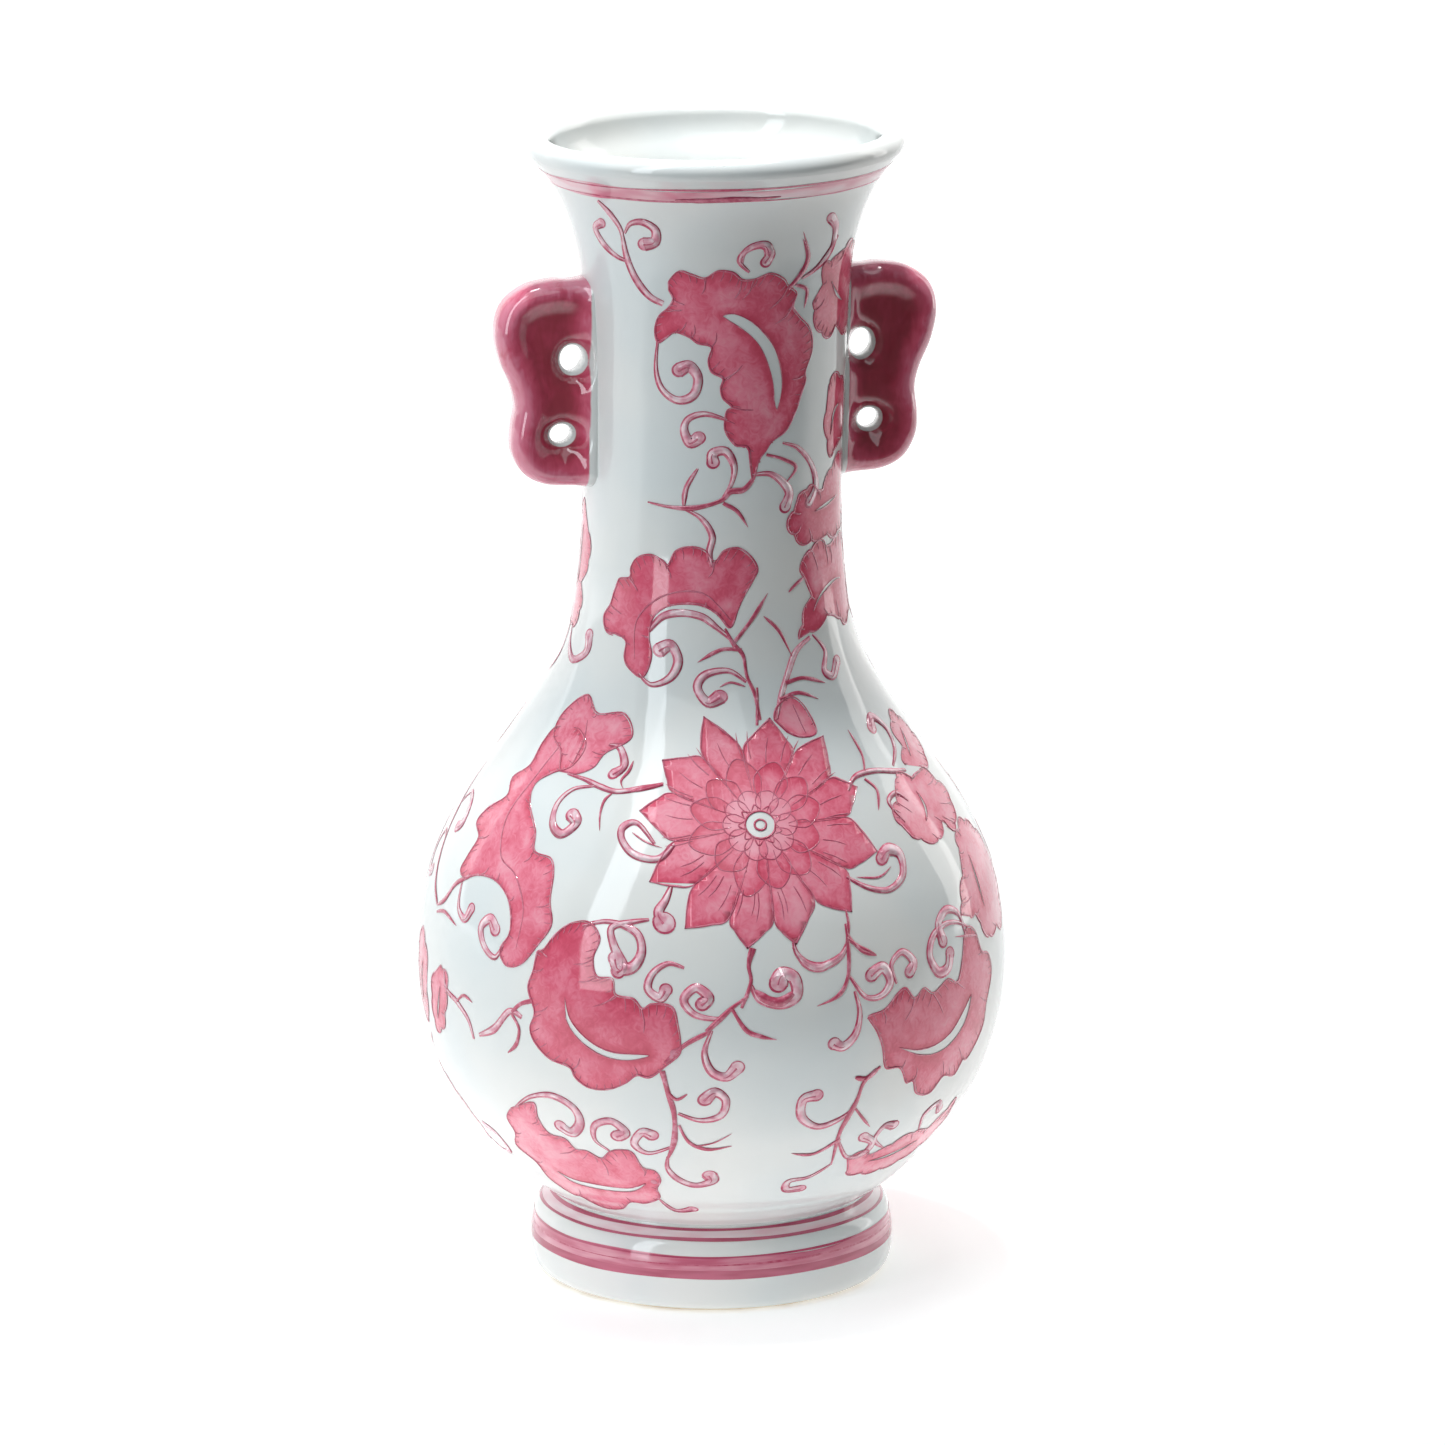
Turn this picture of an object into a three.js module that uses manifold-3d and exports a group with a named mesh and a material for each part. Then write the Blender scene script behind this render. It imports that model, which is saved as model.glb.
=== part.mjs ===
// A two-handled porcelain vase: a hollow foot ring, a round belly thrown in two halves, a slender
// neck, a flared mouth with a rolled lip, and an ear-shaped handle on each side of the neck.
// Every section is a separate piece that is luted to the next one with slip.
// Millimetres, +Z up. The vase stands on Z = 0 with its axis on Z, and its handles lie along X.

import * as THREE from 'three';
import { mergeVertices } from 'three/addons/utils/BufferGeometryUtils.js';
import Module from 'manifold-3d';

// ---------------------------------------------------------------- driving dimensions

const WALL = 4.6;             // thickness of the thrown wall, square to its surface
const JOINT_GAP = 0.3;        // the slip joint between one section and the next
const SEGMENTS = 48;          // facets round the axis

// Heights at which one thrown section ends and the next begins.
const FOOT_TOP = 22;
const BELLY_SEAM = 84;
const NECK_START = 169;
const MOUTH_START = 272;

// Outside of the wall from the foot to the lip, as radius and height.
const BODY_OUTLINE = [
  [41.7, FOOT_TOP], [51.2, 29.2], [61.6, 40.6], [70.0, 54], [75.0, 69.5], [76.5, BELLY_SEAM],
  [75.2, 98], [71.5, 112], [64.1, 126.4], [54.1, 141], [44.0, 156], [37.5, NECK_START],
  [34.5, 184], [33.2, 205], [33.5, 235], [34.5, 262], [36.8, 275.4], [41.2, 286.4], [48.0, 295.3],
];

// The rolled lip is an ellipse in section.
const LIP = { radius: 45.1, height: 296.9, halfWidth: 3.3, halfHeight: 3.1 };

// The vase is made by hand: from the lower end of the handles up, the neck drifts a little
// towards +X, and everything on it tips a little towards -X.
const LEAN_START = 190;
const LEAN_END = 256;
const LEAN_SHIFT = 1.0;
const LEAN_ANGLE = THREE.MathUtils.degToRad(0.9);

// Outside of the foot ring from the edge it stands on up to the groove under the belly.
const FOOT_OUTLINE = [
  [43.2, 0], [45.4, 1.2], [46.7, 3.4], [47.3, 7], [47.1, 11.5], [46.3, 16],
  [45.2, 18.3], [43.5, 19.9], [41.7, FOOT_TOP],
];
const FOOT_EDGE_INSIDE = 39.2;      // inner radius of the edge that the vase stands on
const FOOT_EDGE_BEVEL = 1.2;
const FOOT_BORE = 37.2;             // inner radius of the ring, where the belly's floor sits in it
const FLOOR_UNDERSIDE = 15;         // depth of the recess under the vase
const FLOOR_TOP = 21.5;

// One ear handle, drawn as distance from the axis and height. It starts inside the neck wall
// and is then cut back to it.
const HANDLE_THICKNESS = 13.4;
const HANDLE_ROUNDING = 3.2;
const HANDLE_OUTLINE = [
  [36, 263.9], [43, 264.2], [50, 262.8], [55.8, 258.4], [57.9, 251.6], [56.5, 243.6], [53.7, 237],
  [52.5, 231.6], [53.3, 225.2], [53.0, 219.2], [49.9, 213.6], [44.4, 210.7], [36, 210.2],
];
const HANDLE_ROOT = 26;          // well inside the neck wall
const HANDLE_HOLES = [
  { radius: 37.5, height: 243.5, halfWidth: 2.7, halfHeight: 3.3 },
  { radius: 40.2, height: 223.8, halfWidth: 2.7, halfHeight: 2.4 },
];

// ---------------------------------------------------------------- the wall

const toVector = ([radius, height]) => new THREE.Vector2(radius, height);
const bodyCurve = new THREE.SplineCurve(BODY_OUTLINE.map(toVector));
const footCurve = new THREE.SplineCurve(FOOT_OUTLINE.map(toVector));
const bodySamples = bodyCurve.getPoints(40 * BODY_OUTLINE.length);

function outerRadius(height) {
  const upper = Math.max(1, bodySamples.findIndex((point) => point.y >= height));
  const [low, high] = [bodySamples[upper - 1], bodySamples[upper]];
  return THREE.MathUtils.mapLinear(height, low.y, high.y, low.x, high.x);
}

// The inside keeps the wall's thickness, measured square to the slope of the outside.
function innerRadius(height) {
  const reach = 0.5;
  const slope = (outerRadius(height + reach) - outerRadius(height - reach)) / (2 * reach);
  return outerRadius(height) - WALL * Math.hypot(1, slope);
}

function wallPoints(radiusAt, from, to, steps) {
  return Array.from({ length: steps + 1 }, (_, step) => {
    const height = THREE.MathUtils.lerp(from, to, step / steps);
    return new THREE.Vector2(radiusAt(height), height);
  });
}

function turned(profile, segments = SEGMENTS) {
  const geometry = new THREE.LatheGeometry(profile, segments);
  return geometry.rotateX(Math.PI / 2);
}

// A closed ring of wall between two heights.
function wallSection(from, to, outerSteps, innerSteps) {
  const profile = [
    ...wallPoints(outerRadius, from, to, outerSteps),
    ...wallPoints(innerRadius, to, from, innerSteps),
  ];
  return turned([...profile, profile[0].clone()]);
}

// ---------------------------------------------------------------- the thrown pieces

function footRing() {
  const profile = [
    new THREE.Vector2(FOOT_EDGE_INSIDE, 0),
    ...footCurve.getPoints(14),
    new THREE.Vector2(FOOT_BORE, FOOT_TOP),
    new THREE.Vector2(FOOT_BORE, FLOOR_UNDERSIDE),
    new THREE.Vector2(FOOT_EDGE_INSIDE - FOOT_EDGE_BEVEL, FOOT_EDGE_BEVEL),
    new THREE.Vector2(FOOT_EDGE_INSIDE, 0),
  ];
  return turned(profile);
}

// The lower half of the belly carries the floor, which sits down inside the foot ring.
function lowerBelly() {
  const seat = FOOT_TOP + JOINT_GAP;
  const spigot = FOOT_BORE - JOINT_GAP;
  const floorEdge = 26.5;
  const floor = new THREE.QuadraticBezierCurve(
    new THREE.Vector2(innerRadius(floorEdge), floorEdge),
    new THREE.Vector2(innerRadius(floorEdge) - 7, FLOOR_TOP),
    new THREE.Vector2(0, FLOOR_TOP),
  );
  const profile = [
    new THREE.Vector2(0, FLOOR_UNDERSIDE),
    new THREE.Vector2(spigot, FLOOR_UNDERSIDE),
    new THREE.Vector2(spigot, seat),
    ...wallPoints(outerRadius, seat, BELLY_SEAM, 12),
    ...wallPoints(innerRadius, BELLY_SEAM, floorEdge, 10).slice(0, -1),
    ...floor.getPoints(4),
  ];
  return turned(profile);
}

function upperBelly() {
  return wallSection(BELLY_SEAM + JOINT_GAP, NECK_START, 12, 10);
}

function neck() {
  return wallSection(NECK_START + JOINT_GAP, MOUTH_START, 9, 7);
}

// The lean grows smoothly from the neck up, so pieces that meet before it still meet after it.
function lean(geometry) {
  const position = geometry.attributes.position;
  for (let index = 0; index < position.count; index += 1) {
    const height = position.getZ(index);
    const share = THREE.MathUtils.smoothstep(height, LEAN_START, LEAN_END);
    const across = position.getX(index) + LEAN_SHIFT * share;
    position.setX(index, across);
    position.setZ(index, height + across * Math.tan(LEAN_ANGLE) * share);
  }
  return geometry;
}

function flaredMouth() {
  const start = MOUTH_START + JOINT_GAP;
  const flareTop = BODY_OUTLINE.at(-1)[1];
  const innerTop = LIP.height - 5;
  const lip = new THREE.EllipseCurve(
    LIP.radius, LIP.height, LIP.halfWidth, LIP.halfHeight, -Math.PI / 6, Math.PI,
  );
  const profile = [
    ...wallPoints(outerRadius, start, flareTop, 8).slice(0, -1),
    ...lip.getPoints(9),
    ...wallPoints(innerRadius, innerTop, start, 6),
  ];
  return turned([...profile, profile[0].clone()]);
}

// ---------------------------------------------------------------- the handles

const wasm = await Module();
wasm.setup();

function toSolid(geometry) {
  const bare = geometry.clone();
  bare.deleteAttribute('normal');
  bare.deleteAttribute('uv');
  const merged = mergeVertices(bare, 1e-4);
  return new wasm.Manifold(new wasm.Mesh({
    numProp: 3,
    vertProperties: new Float32Array(merged.attributes.position.array),
    triVerts: new Uint32Array(merged.index.array),
  }));
}

function toGeometry(solid) {
  const mesh = solid.getMesh();
  const geometry = new THREE.BufferGeometry();
  geometry.setAttribute('position', new THREE.BufferAttribute(mesh.vertProperties, 3));
  geometry.setIndex(new THREE.BufferAttribute(mesh.triVerts, 1));
  geometry.computeVertexNormals();
  return geometry;
}

// What the handle has to stay clear of: the neck, grown by the slip joint.
function neckClearance() {
  const above = HANDLE_OUTLINE[0][1] + 8;
  const below = HANDLE_OUTLINE.at(-1)[1] - 8;
  const side = wallPoints((height) => outerRadius(height) + JOINT_GAP, below, above, 14);
  return turned([new THREE.Vector2(0, below), ...side, new THREE.Vector2(0, above)]);
}

function earHandle() {
  const edge = new THREE.SplineCurve(HANDLE_OUTLINE.map(toVector));
  const shape = new THREE.Shape([
    new THREE.Vector2(HANDLE_ROOT, HANDLE_OUTLINE.at(-1)[1]),
    new THREE.Vector2(HANDLE_ROOT, HANDLE_OUTLINE[0][1]),
    ...edge.getPoints(34),
  ]);
  shape.holes = HANDLE_HOLES.map((hole) => {
    const rim = new THREE.EllipseCurve(hole.radius, hole.height, hole.halfWidth, hole.halfHeight);
    return new THREE.Path(rim.getPoints(14).slice(0, -1));
  });
  const plate = new THREE.ExtrudeGeometry(shape, {
    depth: HANDLE_THICKNESS - 2 * HANDLE_ROUNDING,
    bevelThickness: HANDLE_ROUNDING,
    bevelSize: HANDLE_ROUNDING,
    bevelOffset: -HANDLE_ROUNDING,
    bevelSegments: 3,
    curveSegments: 1,
  });
  plate.translate(0, 0, HANDLE_ROUNDING - HANDLE_THICKNESS / 2);
  plate.rotateX(Math.PI / 2);
  return toGeometry(toSolid(plate).subtract(toSolid(neckClearance())));
}

// ---------------------------------------------------------------- the assembly

const whiteGlaze = () => new THREE.MeshStandardMaterial({ color: 0xe6ebeb, roughness: 0.12, metalness: 0 });
const pinkGlaze = () => new THREE.MeshStandardMaterial({ color: 0xb04560, roughness: 0.15, metalness: 0 });

function piece(name, geometry, material) {
  const mesh = new THREE.Mesh(geometry, material);
  mesh.name = name;
  return mesh;
}

const vase = new THREE.Group();
vase.add(
  piece('foot_ring', footRing(), whiteGlaze()),
  piece('lower_belly', lowerBelly(), whiteGlaze()),
  piece('upper_belly', upperBelly(), whiteGlaze()),
  piece('neck', lean(neck()), whiteGlaze()),
  piece('flared_mouth', lean(flaredMouth()), whiteGlaze()),
  piece('handle_left', lean(earHandle().rotateZ(Math.PI)), pinkGlaze()),
  piece('handle_right', lean(earHandle()), pinkGlaze()),
);

export default vase;
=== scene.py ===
# %% [markdown]
# # A porcelain vase with two ear handles
#
# The vase stands 300 mm high: a turned foot, a round belly, a straight neck, a flared
# mouth and two flat scroll handles. The whole surface is glazed white and painted by
# hand in one pink colour with a lotus, leaves and tendrils.
#
# This script builds the visible vase in Blender, over a CAD model that is loaded as a
# fixed frame. All sizes below are in millimetres, because that is how one measures a
# vase, and each mesh is scaled to metres as its last step.

import math
import random

import bpy
import bmesh
import numpy as np
from mathutils import Matrix, Vector, kdtree


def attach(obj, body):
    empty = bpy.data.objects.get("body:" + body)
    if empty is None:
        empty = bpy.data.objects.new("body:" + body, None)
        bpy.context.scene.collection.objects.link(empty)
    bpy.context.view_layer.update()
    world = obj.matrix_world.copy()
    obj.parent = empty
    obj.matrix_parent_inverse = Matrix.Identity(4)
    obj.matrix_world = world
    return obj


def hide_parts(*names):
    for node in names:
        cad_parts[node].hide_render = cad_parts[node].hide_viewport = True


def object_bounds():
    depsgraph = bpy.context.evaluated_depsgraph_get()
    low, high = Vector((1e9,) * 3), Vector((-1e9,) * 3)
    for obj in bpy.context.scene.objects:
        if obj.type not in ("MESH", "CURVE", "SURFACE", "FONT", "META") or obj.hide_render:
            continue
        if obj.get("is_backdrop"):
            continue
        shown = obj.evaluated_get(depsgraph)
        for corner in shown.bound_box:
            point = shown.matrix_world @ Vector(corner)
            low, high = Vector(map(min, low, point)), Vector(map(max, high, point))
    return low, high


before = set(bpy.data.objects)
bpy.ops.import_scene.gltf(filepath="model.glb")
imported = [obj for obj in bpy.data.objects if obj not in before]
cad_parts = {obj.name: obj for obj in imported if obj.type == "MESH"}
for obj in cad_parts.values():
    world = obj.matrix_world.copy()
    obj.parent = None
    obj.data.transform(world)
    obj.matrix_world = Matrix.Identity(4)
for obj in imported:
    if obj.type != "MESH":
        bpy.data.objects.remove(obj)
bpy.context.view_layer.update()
MM = 0.001                                # metres in a millimetre
random.seed(7)
print("CAD parts:", sorted(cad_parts))

# %% [markdown]
# ## The line that the whole vase is turned to
#
# A thrown pot is one line swept once round the axis. We write down the few heights where
# the radius is known and let a smooth curve run through them. It starts at the outer edge
# of the foot, climbs the belly and neck, rolls over the lip and runs down the inside to
# the middle of the floor. Every later piece, and every brush stroke, is placed on it.

# %% The known radii and heights
WALL = 4.6                                # thickness of the porcelain
FOOT_OUTLINE = [(43.2, 0), (45.4, 1.2), (46.7, 3.4), (47.3, 7), (47.1, 11.5), (46.3, 16),
                (45.2, 18.3), (43.5, 19.9), (41.7, 22)]
BODY_OUTLINE = [(41.7, 22), (51.2, 29.2), (61.6, 40.6), (70, 54), (75, 69.5), (76.5, 84),
                (75.2, 98), (71.5, 112), (64.1, 126.4), (54.1, 141), (44, 156), (37.5, 169),
                (34.5, 184), (33.2, 205), (33.5, 235), (34.5, 262), (36.8, 275.4),
                (41.2, 286.4), (48, 295.3)]
LIP_RADIUS, LIP_HEIGHT = 45.1, 296.9      # centre of the rolled lip
LIP_HALF_WIDTH, LIP_HALF_HEIGHT = 3.3, 3.1
FLOOR_EDGE, FLOOR_TOP = 26.5, 21.5        # where the inner wall bends into the floor
print("the belly is", 2 * max(radius for radius, height in BODY_OUTLINE), "mm wide")


def smooth_line(points, steps):
    """A line through all the points, with `steps` short pieces between each two."""
    points = np.array(points, float)
    last = len(points) - 1
    t = np.linspace(0, 1, steps, endpoint=False)[:, None]
    line = []
    for i in range(last):
        a, b, c, d = points[[max(i - 1, 0), i, i + 1, min(i + 2, last)]]
        line.append(0.5 * (2 * b + (c - a) * t + (2 * a - 5 * b + 4 * c - d) * t ** 2
                           + (3 * b - a - 3 * c + d) * t ** 3))
    return np.concatenate(line + [points[-1:]])


# %% Join outside, lip and inside to one line
foot_line = smooth_line(FOOT_OUTLINE, 10)
body_line = smooth_line(BODY_OUTLINE, 24)
turn = np.radians(np.linspace(-30, 180, 70))
lip_line = np.stack([LIP_RADIUS + LIP_HALF_WIDTH * np.cos(turn),
                     LIP_HEIGHT + LIP_HALF_HEIGHT * np.sin(turn)], 1)


def inner_radius(z):
    """Radius of the inner wall: one wall thickness in from the outside, square to it."""
    slope = np.gradient(body_line[:, 0], body_line[:, 1])
    return (np.interp(z, body_line[:, 1], body_line[:, 0])
            - WALL * np.hypot(1, np.interp(z, body_line[:, 1], slope)))


down = np.linspace(LIP_HEIGHT - 6, FLOOR_EDGE, 420)
inner_line = np.stack([inner_radius(down), down], 1)
edge = inner_line[-1, 0]
t = np.linspace(0, 1, 60)[1:, None]
floor_line = ((1 - t) ** 2 * [edge, FLOOR_EDGE] + 2 * t * (1 - t) * [edge - 7, FLOOR_TOP]
              + t ** 2 * [0, FLOOR_TOP])
line = np.concatenate([foot_line, body_line[1:], lip_line[1:], inner_line, floor_line])
ARC = np.concatenate([[0], np.cumsum(np.hypot(*np.diff(line, axis=0).T))])
SLOPE = np.gradient(line, ARC, axis=0)
SLOPE /= np.hypot(*SLOPE.T)[:, None]
OUTSIDE = len(foot_line) + len(body_line) - 1      # how many points are outside, below the lip
print(f"the line is {ARC[-1]:.0f} mm long and has {len(line)} points")

# %% [markdown]
# ## Finding a place on the wall
#
# Four small functions turn "this far along the line, at this angle round the axis" into
# a point in space and the direction that the wall faces there. The facing direction is
# kept with each mesh as its custom normal, so the reflections run smoothly over the
# joints between pieces and through the paint.
#
# The upper part of this hand-made vase leans a little, as many thrown vases do. The lean
# grows smoothly from 190 to 256 mm of height.

# %% Point and facing direction on the wall
LEAN_START, LEAN_END = 190, 256
LEAN_SHIFT, LEAN_TILT = 1.0, math.tan(math.radians(0.9))


def line_at_height(z):
    """Distance along the line to a height on the outside."""
    return float(np.interp(z, line[:OUTSIDE, 1], ARC[:OUTSIDE]))


def lean(points, normals=None):
    """Lean points of the upper part, and turn their facing directions to match."""
    t = np.clip((points[:, 2] - LEAN_START) / (LEAN_END - LEAN_START), 0, 1)
    share = t * t * (3 - 2 * t)
    growth = 6 * t * (1 - t) / (LEAN_END - LEAN_START)
    moved = points.copy()
    moved[:, 0] += LEAN_SHIFT * share
    moved[:, 2] += points[:, 0] * LEAN_TILT * share
    if normals is None:
        return moved
    turned = normals.copy()
    turned[:, 2] = (normals[:, 2] - LEAN_SHIFT * growth * normals[:, 0]) / (
        1 + LEAN_TILT * (points[:, 0] * growth - LEAN_SHIFT * growth * share))
    turned[:, 0] = normals[:, 0] - LEAN_TILT * share * turned[:, 2]
    return moved, turned / np.linalg.norm(turned, axis=1)[:, None]


def angle_of(points):
    """Angles round the axis, counted from the front to the right."""
    return np.arctan2(points[:, 0], -points[:, 1])


def on_wall(angle, along, lift=0.0):
    """Points, and facing directions, at these angles and distances along the line."""
    r, z = (np.interp(along, ARC, line[:, k]) for k in (0, 1))
    dr, dz = (np.interp(along, ARC, SLOPE[:, k]) for k in (0, 1))
    sin, cos = np.sin(angle), np.cos(angle)
    normals = np.stack([dz * sin, -dz * cos, -dr], 1)
    normals /= np.linalg.norm(normals, axis=1)[:, None]
    points = np.stack([r * sin, -r * cos, z], 1)
    moved, turned = lean(points, normals)
    return moved + turned * np.reshape(lift, (-1, 1)), turned


print("height 84 mm is", round(line_at_height(84), 1), "mm along the line")

# %% [markdown]
# ## From a bmesh to a finished piece
#
# Each piece ends the same way: its mesh is scaled to metres, it gets its material, it is
# tied to the CAD body that it moves with, and the CAD parts that it stands for are hidden.

# %% Helpers that finish a piece
def put(name, data):
    """A new object in the scene that holds this data."""
    made = bpy.data.objects.new(name, data)
    bpy.context.collection.objects.link(made)
    return made


def back_to(mesh, bm):
    """Write a bmesh into this mesh and free it."""
    bm.to_mesh(mesh)
    bm.free()
    return mesh


def bmesh_of(mesh):
    bm = bmesh.new()
    bm.from_mesh(mesh)
    return bm


def mesh_from(bm, name):
    """An object holding this bmesh."""
    return put(name, back_to(bpy.data.meshes.new(name), bm))


def coordinates(mesh):
    """The places of all points of a mesh, one row each."""
    found = np.empty(len(mesh.vertices) * 3)
    mesh.vertices.foreach_get("co", found)
    return found.reshape(-1, 3)


def set_coordinates(mesh, points):
    mesh.vertices.foreach_set("co", np.ascontiguousarray(points, float).ravel())
    mesh.update()


def keep(mesh, key, value):
    """Keep one float for each point of a mesh."""
    values = np.broadcast_to(value, len(mesh.vertices)).astype(np.float32)
    mesh.attributes.new(key, "FLOAT", "POINT").data.foreach_set("value", values)


def kept(mesh, key):
    """The floats that the points of a mesh keep under this key."""
    values = np.empty(len(mesh.vertices))
    mesh.attributes[key].data.foreach_get("value", values)
    return values


def face_out(bm):
    """Turn every face outwards and shade it smooth."""
    bmesh.ops.recalc_face_normals(bm, faces=bm.faces)
    for face in bm.faces:
        face.smooth = True


def finish_piece(piece, materials, stands_for=()):
    """Scale to metres, give materials, tie to the body, hide the CAD parts it replaces and
    print its size.
    """
    piece.data.transform(Matrix.Scale(MM, 4))
    for material in materials:
        piece.data.materials.append(material)
    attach(piece, "root")
    if stands_for:
        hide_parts(*stands_for)
    triangles = sum(len(p.vertices) - 2 for p in piece.data.polygons)
    size = [round(x / MM, 1) for x in piece.dimensions]
    print(f"{piece.name}: {size} mm, {triangles} triangles")
    return piece


SAME_WAY = 0.8                             # cosine between a face and the wall along it


def face_as_wall(mesh, normals):
    """Use the wall's own facing directions wherever a face lies along the wall."""
    corners = np.empty(len(mesh.loops), int)
    mesh.loops.foreach_get("vertex_index", corners)
    flat = np.empty(len(mesh.polygons) * 3)
    mesh.polygons.foreach_get("normal", flat)
    sizes = np.empty(len(mesh.polygons), int)
    mesh.polygons.foreach_get("loop_total", sizes)
    flat = np.repeat(flat.reshape(-1, 3), sizes, axis=0)
    wanted = normals[corners]
    along_wall = (wanted * flat).sum(1) > SAME_WAY
    shaded = np.empty(len(mesh.loops) * 3)
    mesh.corner_normals.foreach_get("vector", shaded)
    chosen = np.where(along_wall[:, None], wanted, shaded.reshape(-1, 3))
    mesh.normals_split_custom_set(chosen.tolist())


# %% [markdown]
# ## Materials
#
# Porcelain glaze is a thin layer of clear glass on a white body. So the white is a plain
# diffuse colour under a sharp clear reflection, and the character comes from small
# things: soft ripples left by the throwing and by the running glaze, a few pinholes,
# and a colour that is a little cooler where the glaze lies thick.

# %% Node helper and colours
def linear(hex_colour):
    """A screen colour such as "C8506E" as the linear colour that shaders work in."""
    parts = [int(hex_colour[i:i + 2], 16) / 255 for i in (0, 2, 4)]
    return [p / 12.92 if p <= 0.04045 else ((p + 0.055) / 1.055) ** 2.4 for p in parts] + [1.0]


def add_node(tree, kind, inputs=None, stops=None, **settings):
    """Add one node. Inputs are values or other nodes' outputs; stops are a ramp's colours."""
    node = tree.nodes.new(kind)
    for key, value in settings.items():
        setattr(node, key, value)
    for key, value in (inputs or {}).items():
        if isinstance(value, bpy.types.NodeSocket):
            tree.links.new(value, node.inputs[key])
        else:
            node.inputs[key].default_value = value
    if stops:
        bar = node.color_ramp.elements
        for i, (place, colour) in enumerate(stops):
            stop = bar[i] if i < 2 else bar.new(place)
            stop.position, stop.color = place, colour
    return node


def new_material(name):
    """An empty node material with its output, and the object coordinates in millimetres."""
    material = bpy.data.materials.new(name)
    material.use_nodes = True
    tree = material.node_tree
    tree.nodes.clear()
    output = add_node(tree, "ShaderNodeOutputMaterial")
    place = add_node(tree, "ShaderNodeTexCoord").outputs["Object"]
    in_mm = add_node(tree, "ShaderNodeVectorMath", {0: place, "Scale": 1 / MM},
                     operation="SCALE").outputs[0]
    return material, tree, output, in_mm


def noise(tree, place, size_mm, detail=2.0, roughness=0.5, distortion=0.0):
    """Noise whose blotches are about size_mm across. Gives 0 to 1."""
    return add_node(tree, "ShaderNodeTexNoise", {
        "Vector": place, "Scale": 1 / size_mm, "Detail": detail, "Roughness": roughness,
        "Distortion": distortion}).outputs["Fac"]


def stretched(tree, place, scale):
    """The same coordinates, squeezed along each axis."""
    return add_node(tree, "ShaderNodeVectorMath", {0: place, 1: scale},
                    operation="MULTIPLY").outputs[0]


def blend(tree, share, first, second, mode="MIX"):
    """Mix two colours by share, 0 for all first."""
    return add_node(tree, "ShaderNodeMix", {0: share, 6: first, 7: second},
                    data_type="RGBA", blend_type=mode).outputs[2]


def spread(tree, value, low, high, to_low=0.0, to_high=1.0):
    """Map low..high to to_low..to_high, held at the ends."""
    return add_node(tree, "ShaderNodeMapRange", {
        0: value, 1: low, 2: high, 3: to_low, 4: to_high},
        interpolation_type="SMOOTHSTEP").outputs[0]


def maths(tree, operation, *values):
    """One sum over plain numbers or other nodes' outputs."""
    return add_node(tree, "ShaderNodeMath", dict(enumerate(values)),
                    operation=operation).outputs[0]


def ramp(tree, value, low, high, *colours):
    """Colours along low..high of a value, each given as (place, screen colour)."""
    return add_node(tree, "ShaderNodeValToRGB", {0: spread(tree, value, low, high)},
                    [(place, linear(colour)) for place, colour in colours]).outputs[0]


def bump(tree, strength, depth_mm, height, normal=None):
    """A relief of this depth, on top of another relief if there is one."""
    inputs = {"Strength": strength, "Distance": depth_mm * MM, "Height": height}
    if normal is not None:
        inputs["Normal"] = normal
    return add_node(tree, "ShaderNodeBump", inputs).outputs[0]


def glazed(tree, output, in_mm, colour, coat=0.35):
    """A colour under clear glaze. The glaze has orange peel, slow waves where it ran, and
    long ripples from the throwing, so reflections wander a little as on real china."""
    peel = bump(tree, 0.05, 0.08, noise(tree, in_mm, 1.6, 2.0))
    waves = bump(tree, 0.55, 0.5, noise(tree, in_mm, 22, 1.5), peel)
    ripples = noise(tree, stretched(tree, in_mm, (0.25, 0.25, 1.6)), 14, 1.0)
    shader = add_node(tree, "ShaderNodeBsdfPrincipled", {
        "Base Color": colour, "Roughness": 0.06, "IOR": 1.5, "Coat Weight": coat,
        "Coat Roughness": 0.03, "Coat IOR": 1.5,
        "Normal": bump(tree, 0.5, 0.35, ripples, waves)})
    tree.links.new(shader.outputs[0], output.inputs[0])


# %% White porcelain under clear glaze
white_glaze, tree, output, in_mm = new_material("white_porcelain_glazed")
thick = noise(tree, in_mm, 46, 2.0)                 # slow drift in how thick the glaze lies
body_colour = blend(tree, spread(tree, thick, 0.35, 0.7), linear("F1F2EF"), linear("E6ECEC"))
pinholes = add_node(tree, "ShaderNodeTexVoronoi", {"Vector": in_mm, "Scale": 1 / 13.0})
speck = spread(tree, pinholes.outputs["Distance"], 0.012, 0.03, 0.55, 0.0)   # tiny grey dots
rare = spread(tree, noise(tree, in_mm, 30), 0.56, 0.62)
speck = maths(tree, "MULTIPLY", speck, rare)
glazed(tree, output, in_mm, blend(tree, speck, body_colour, linear("9A958C")))

# %% Bare biscuit on the standing edge of the foot
biscuit, tree, output, in_mm = new_material("unglazed_biscuit_porcelain")
warm = blend(tree, spread(tree, noise(tree, in_mm, 9), 0.4, 0.65),
             linear("E4DCCB"), linear("CDBDA2"))     # kiln dust and handling darken it
shader = add_node(tree, "ShaderNodeBsdfPrincipled", {
    "Base Color": warm, "Roughness": 0.75,
    "Normal": bump(tree, 0.4, 0.1, noise(tree, in_mm, 0.5, 3.0))})     # dry, fine grit
tree.links.new(shader.outputs[0], output.inputs[0])
print("materials:", [m.name for m in bpy.data.materials])

# %% [markdown]
# ## The five turned sections
#
# Tall vases of this kind are thrown in sections that are joined before glazing. Each
# section is a closed ring of porcelain: up the outside, across the joint, down the inside
# and across the lower joint. We draw that small outline once and spin it round the axis.
# The joints meet exactly and share one facing direction, so no seam shows.

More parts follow.
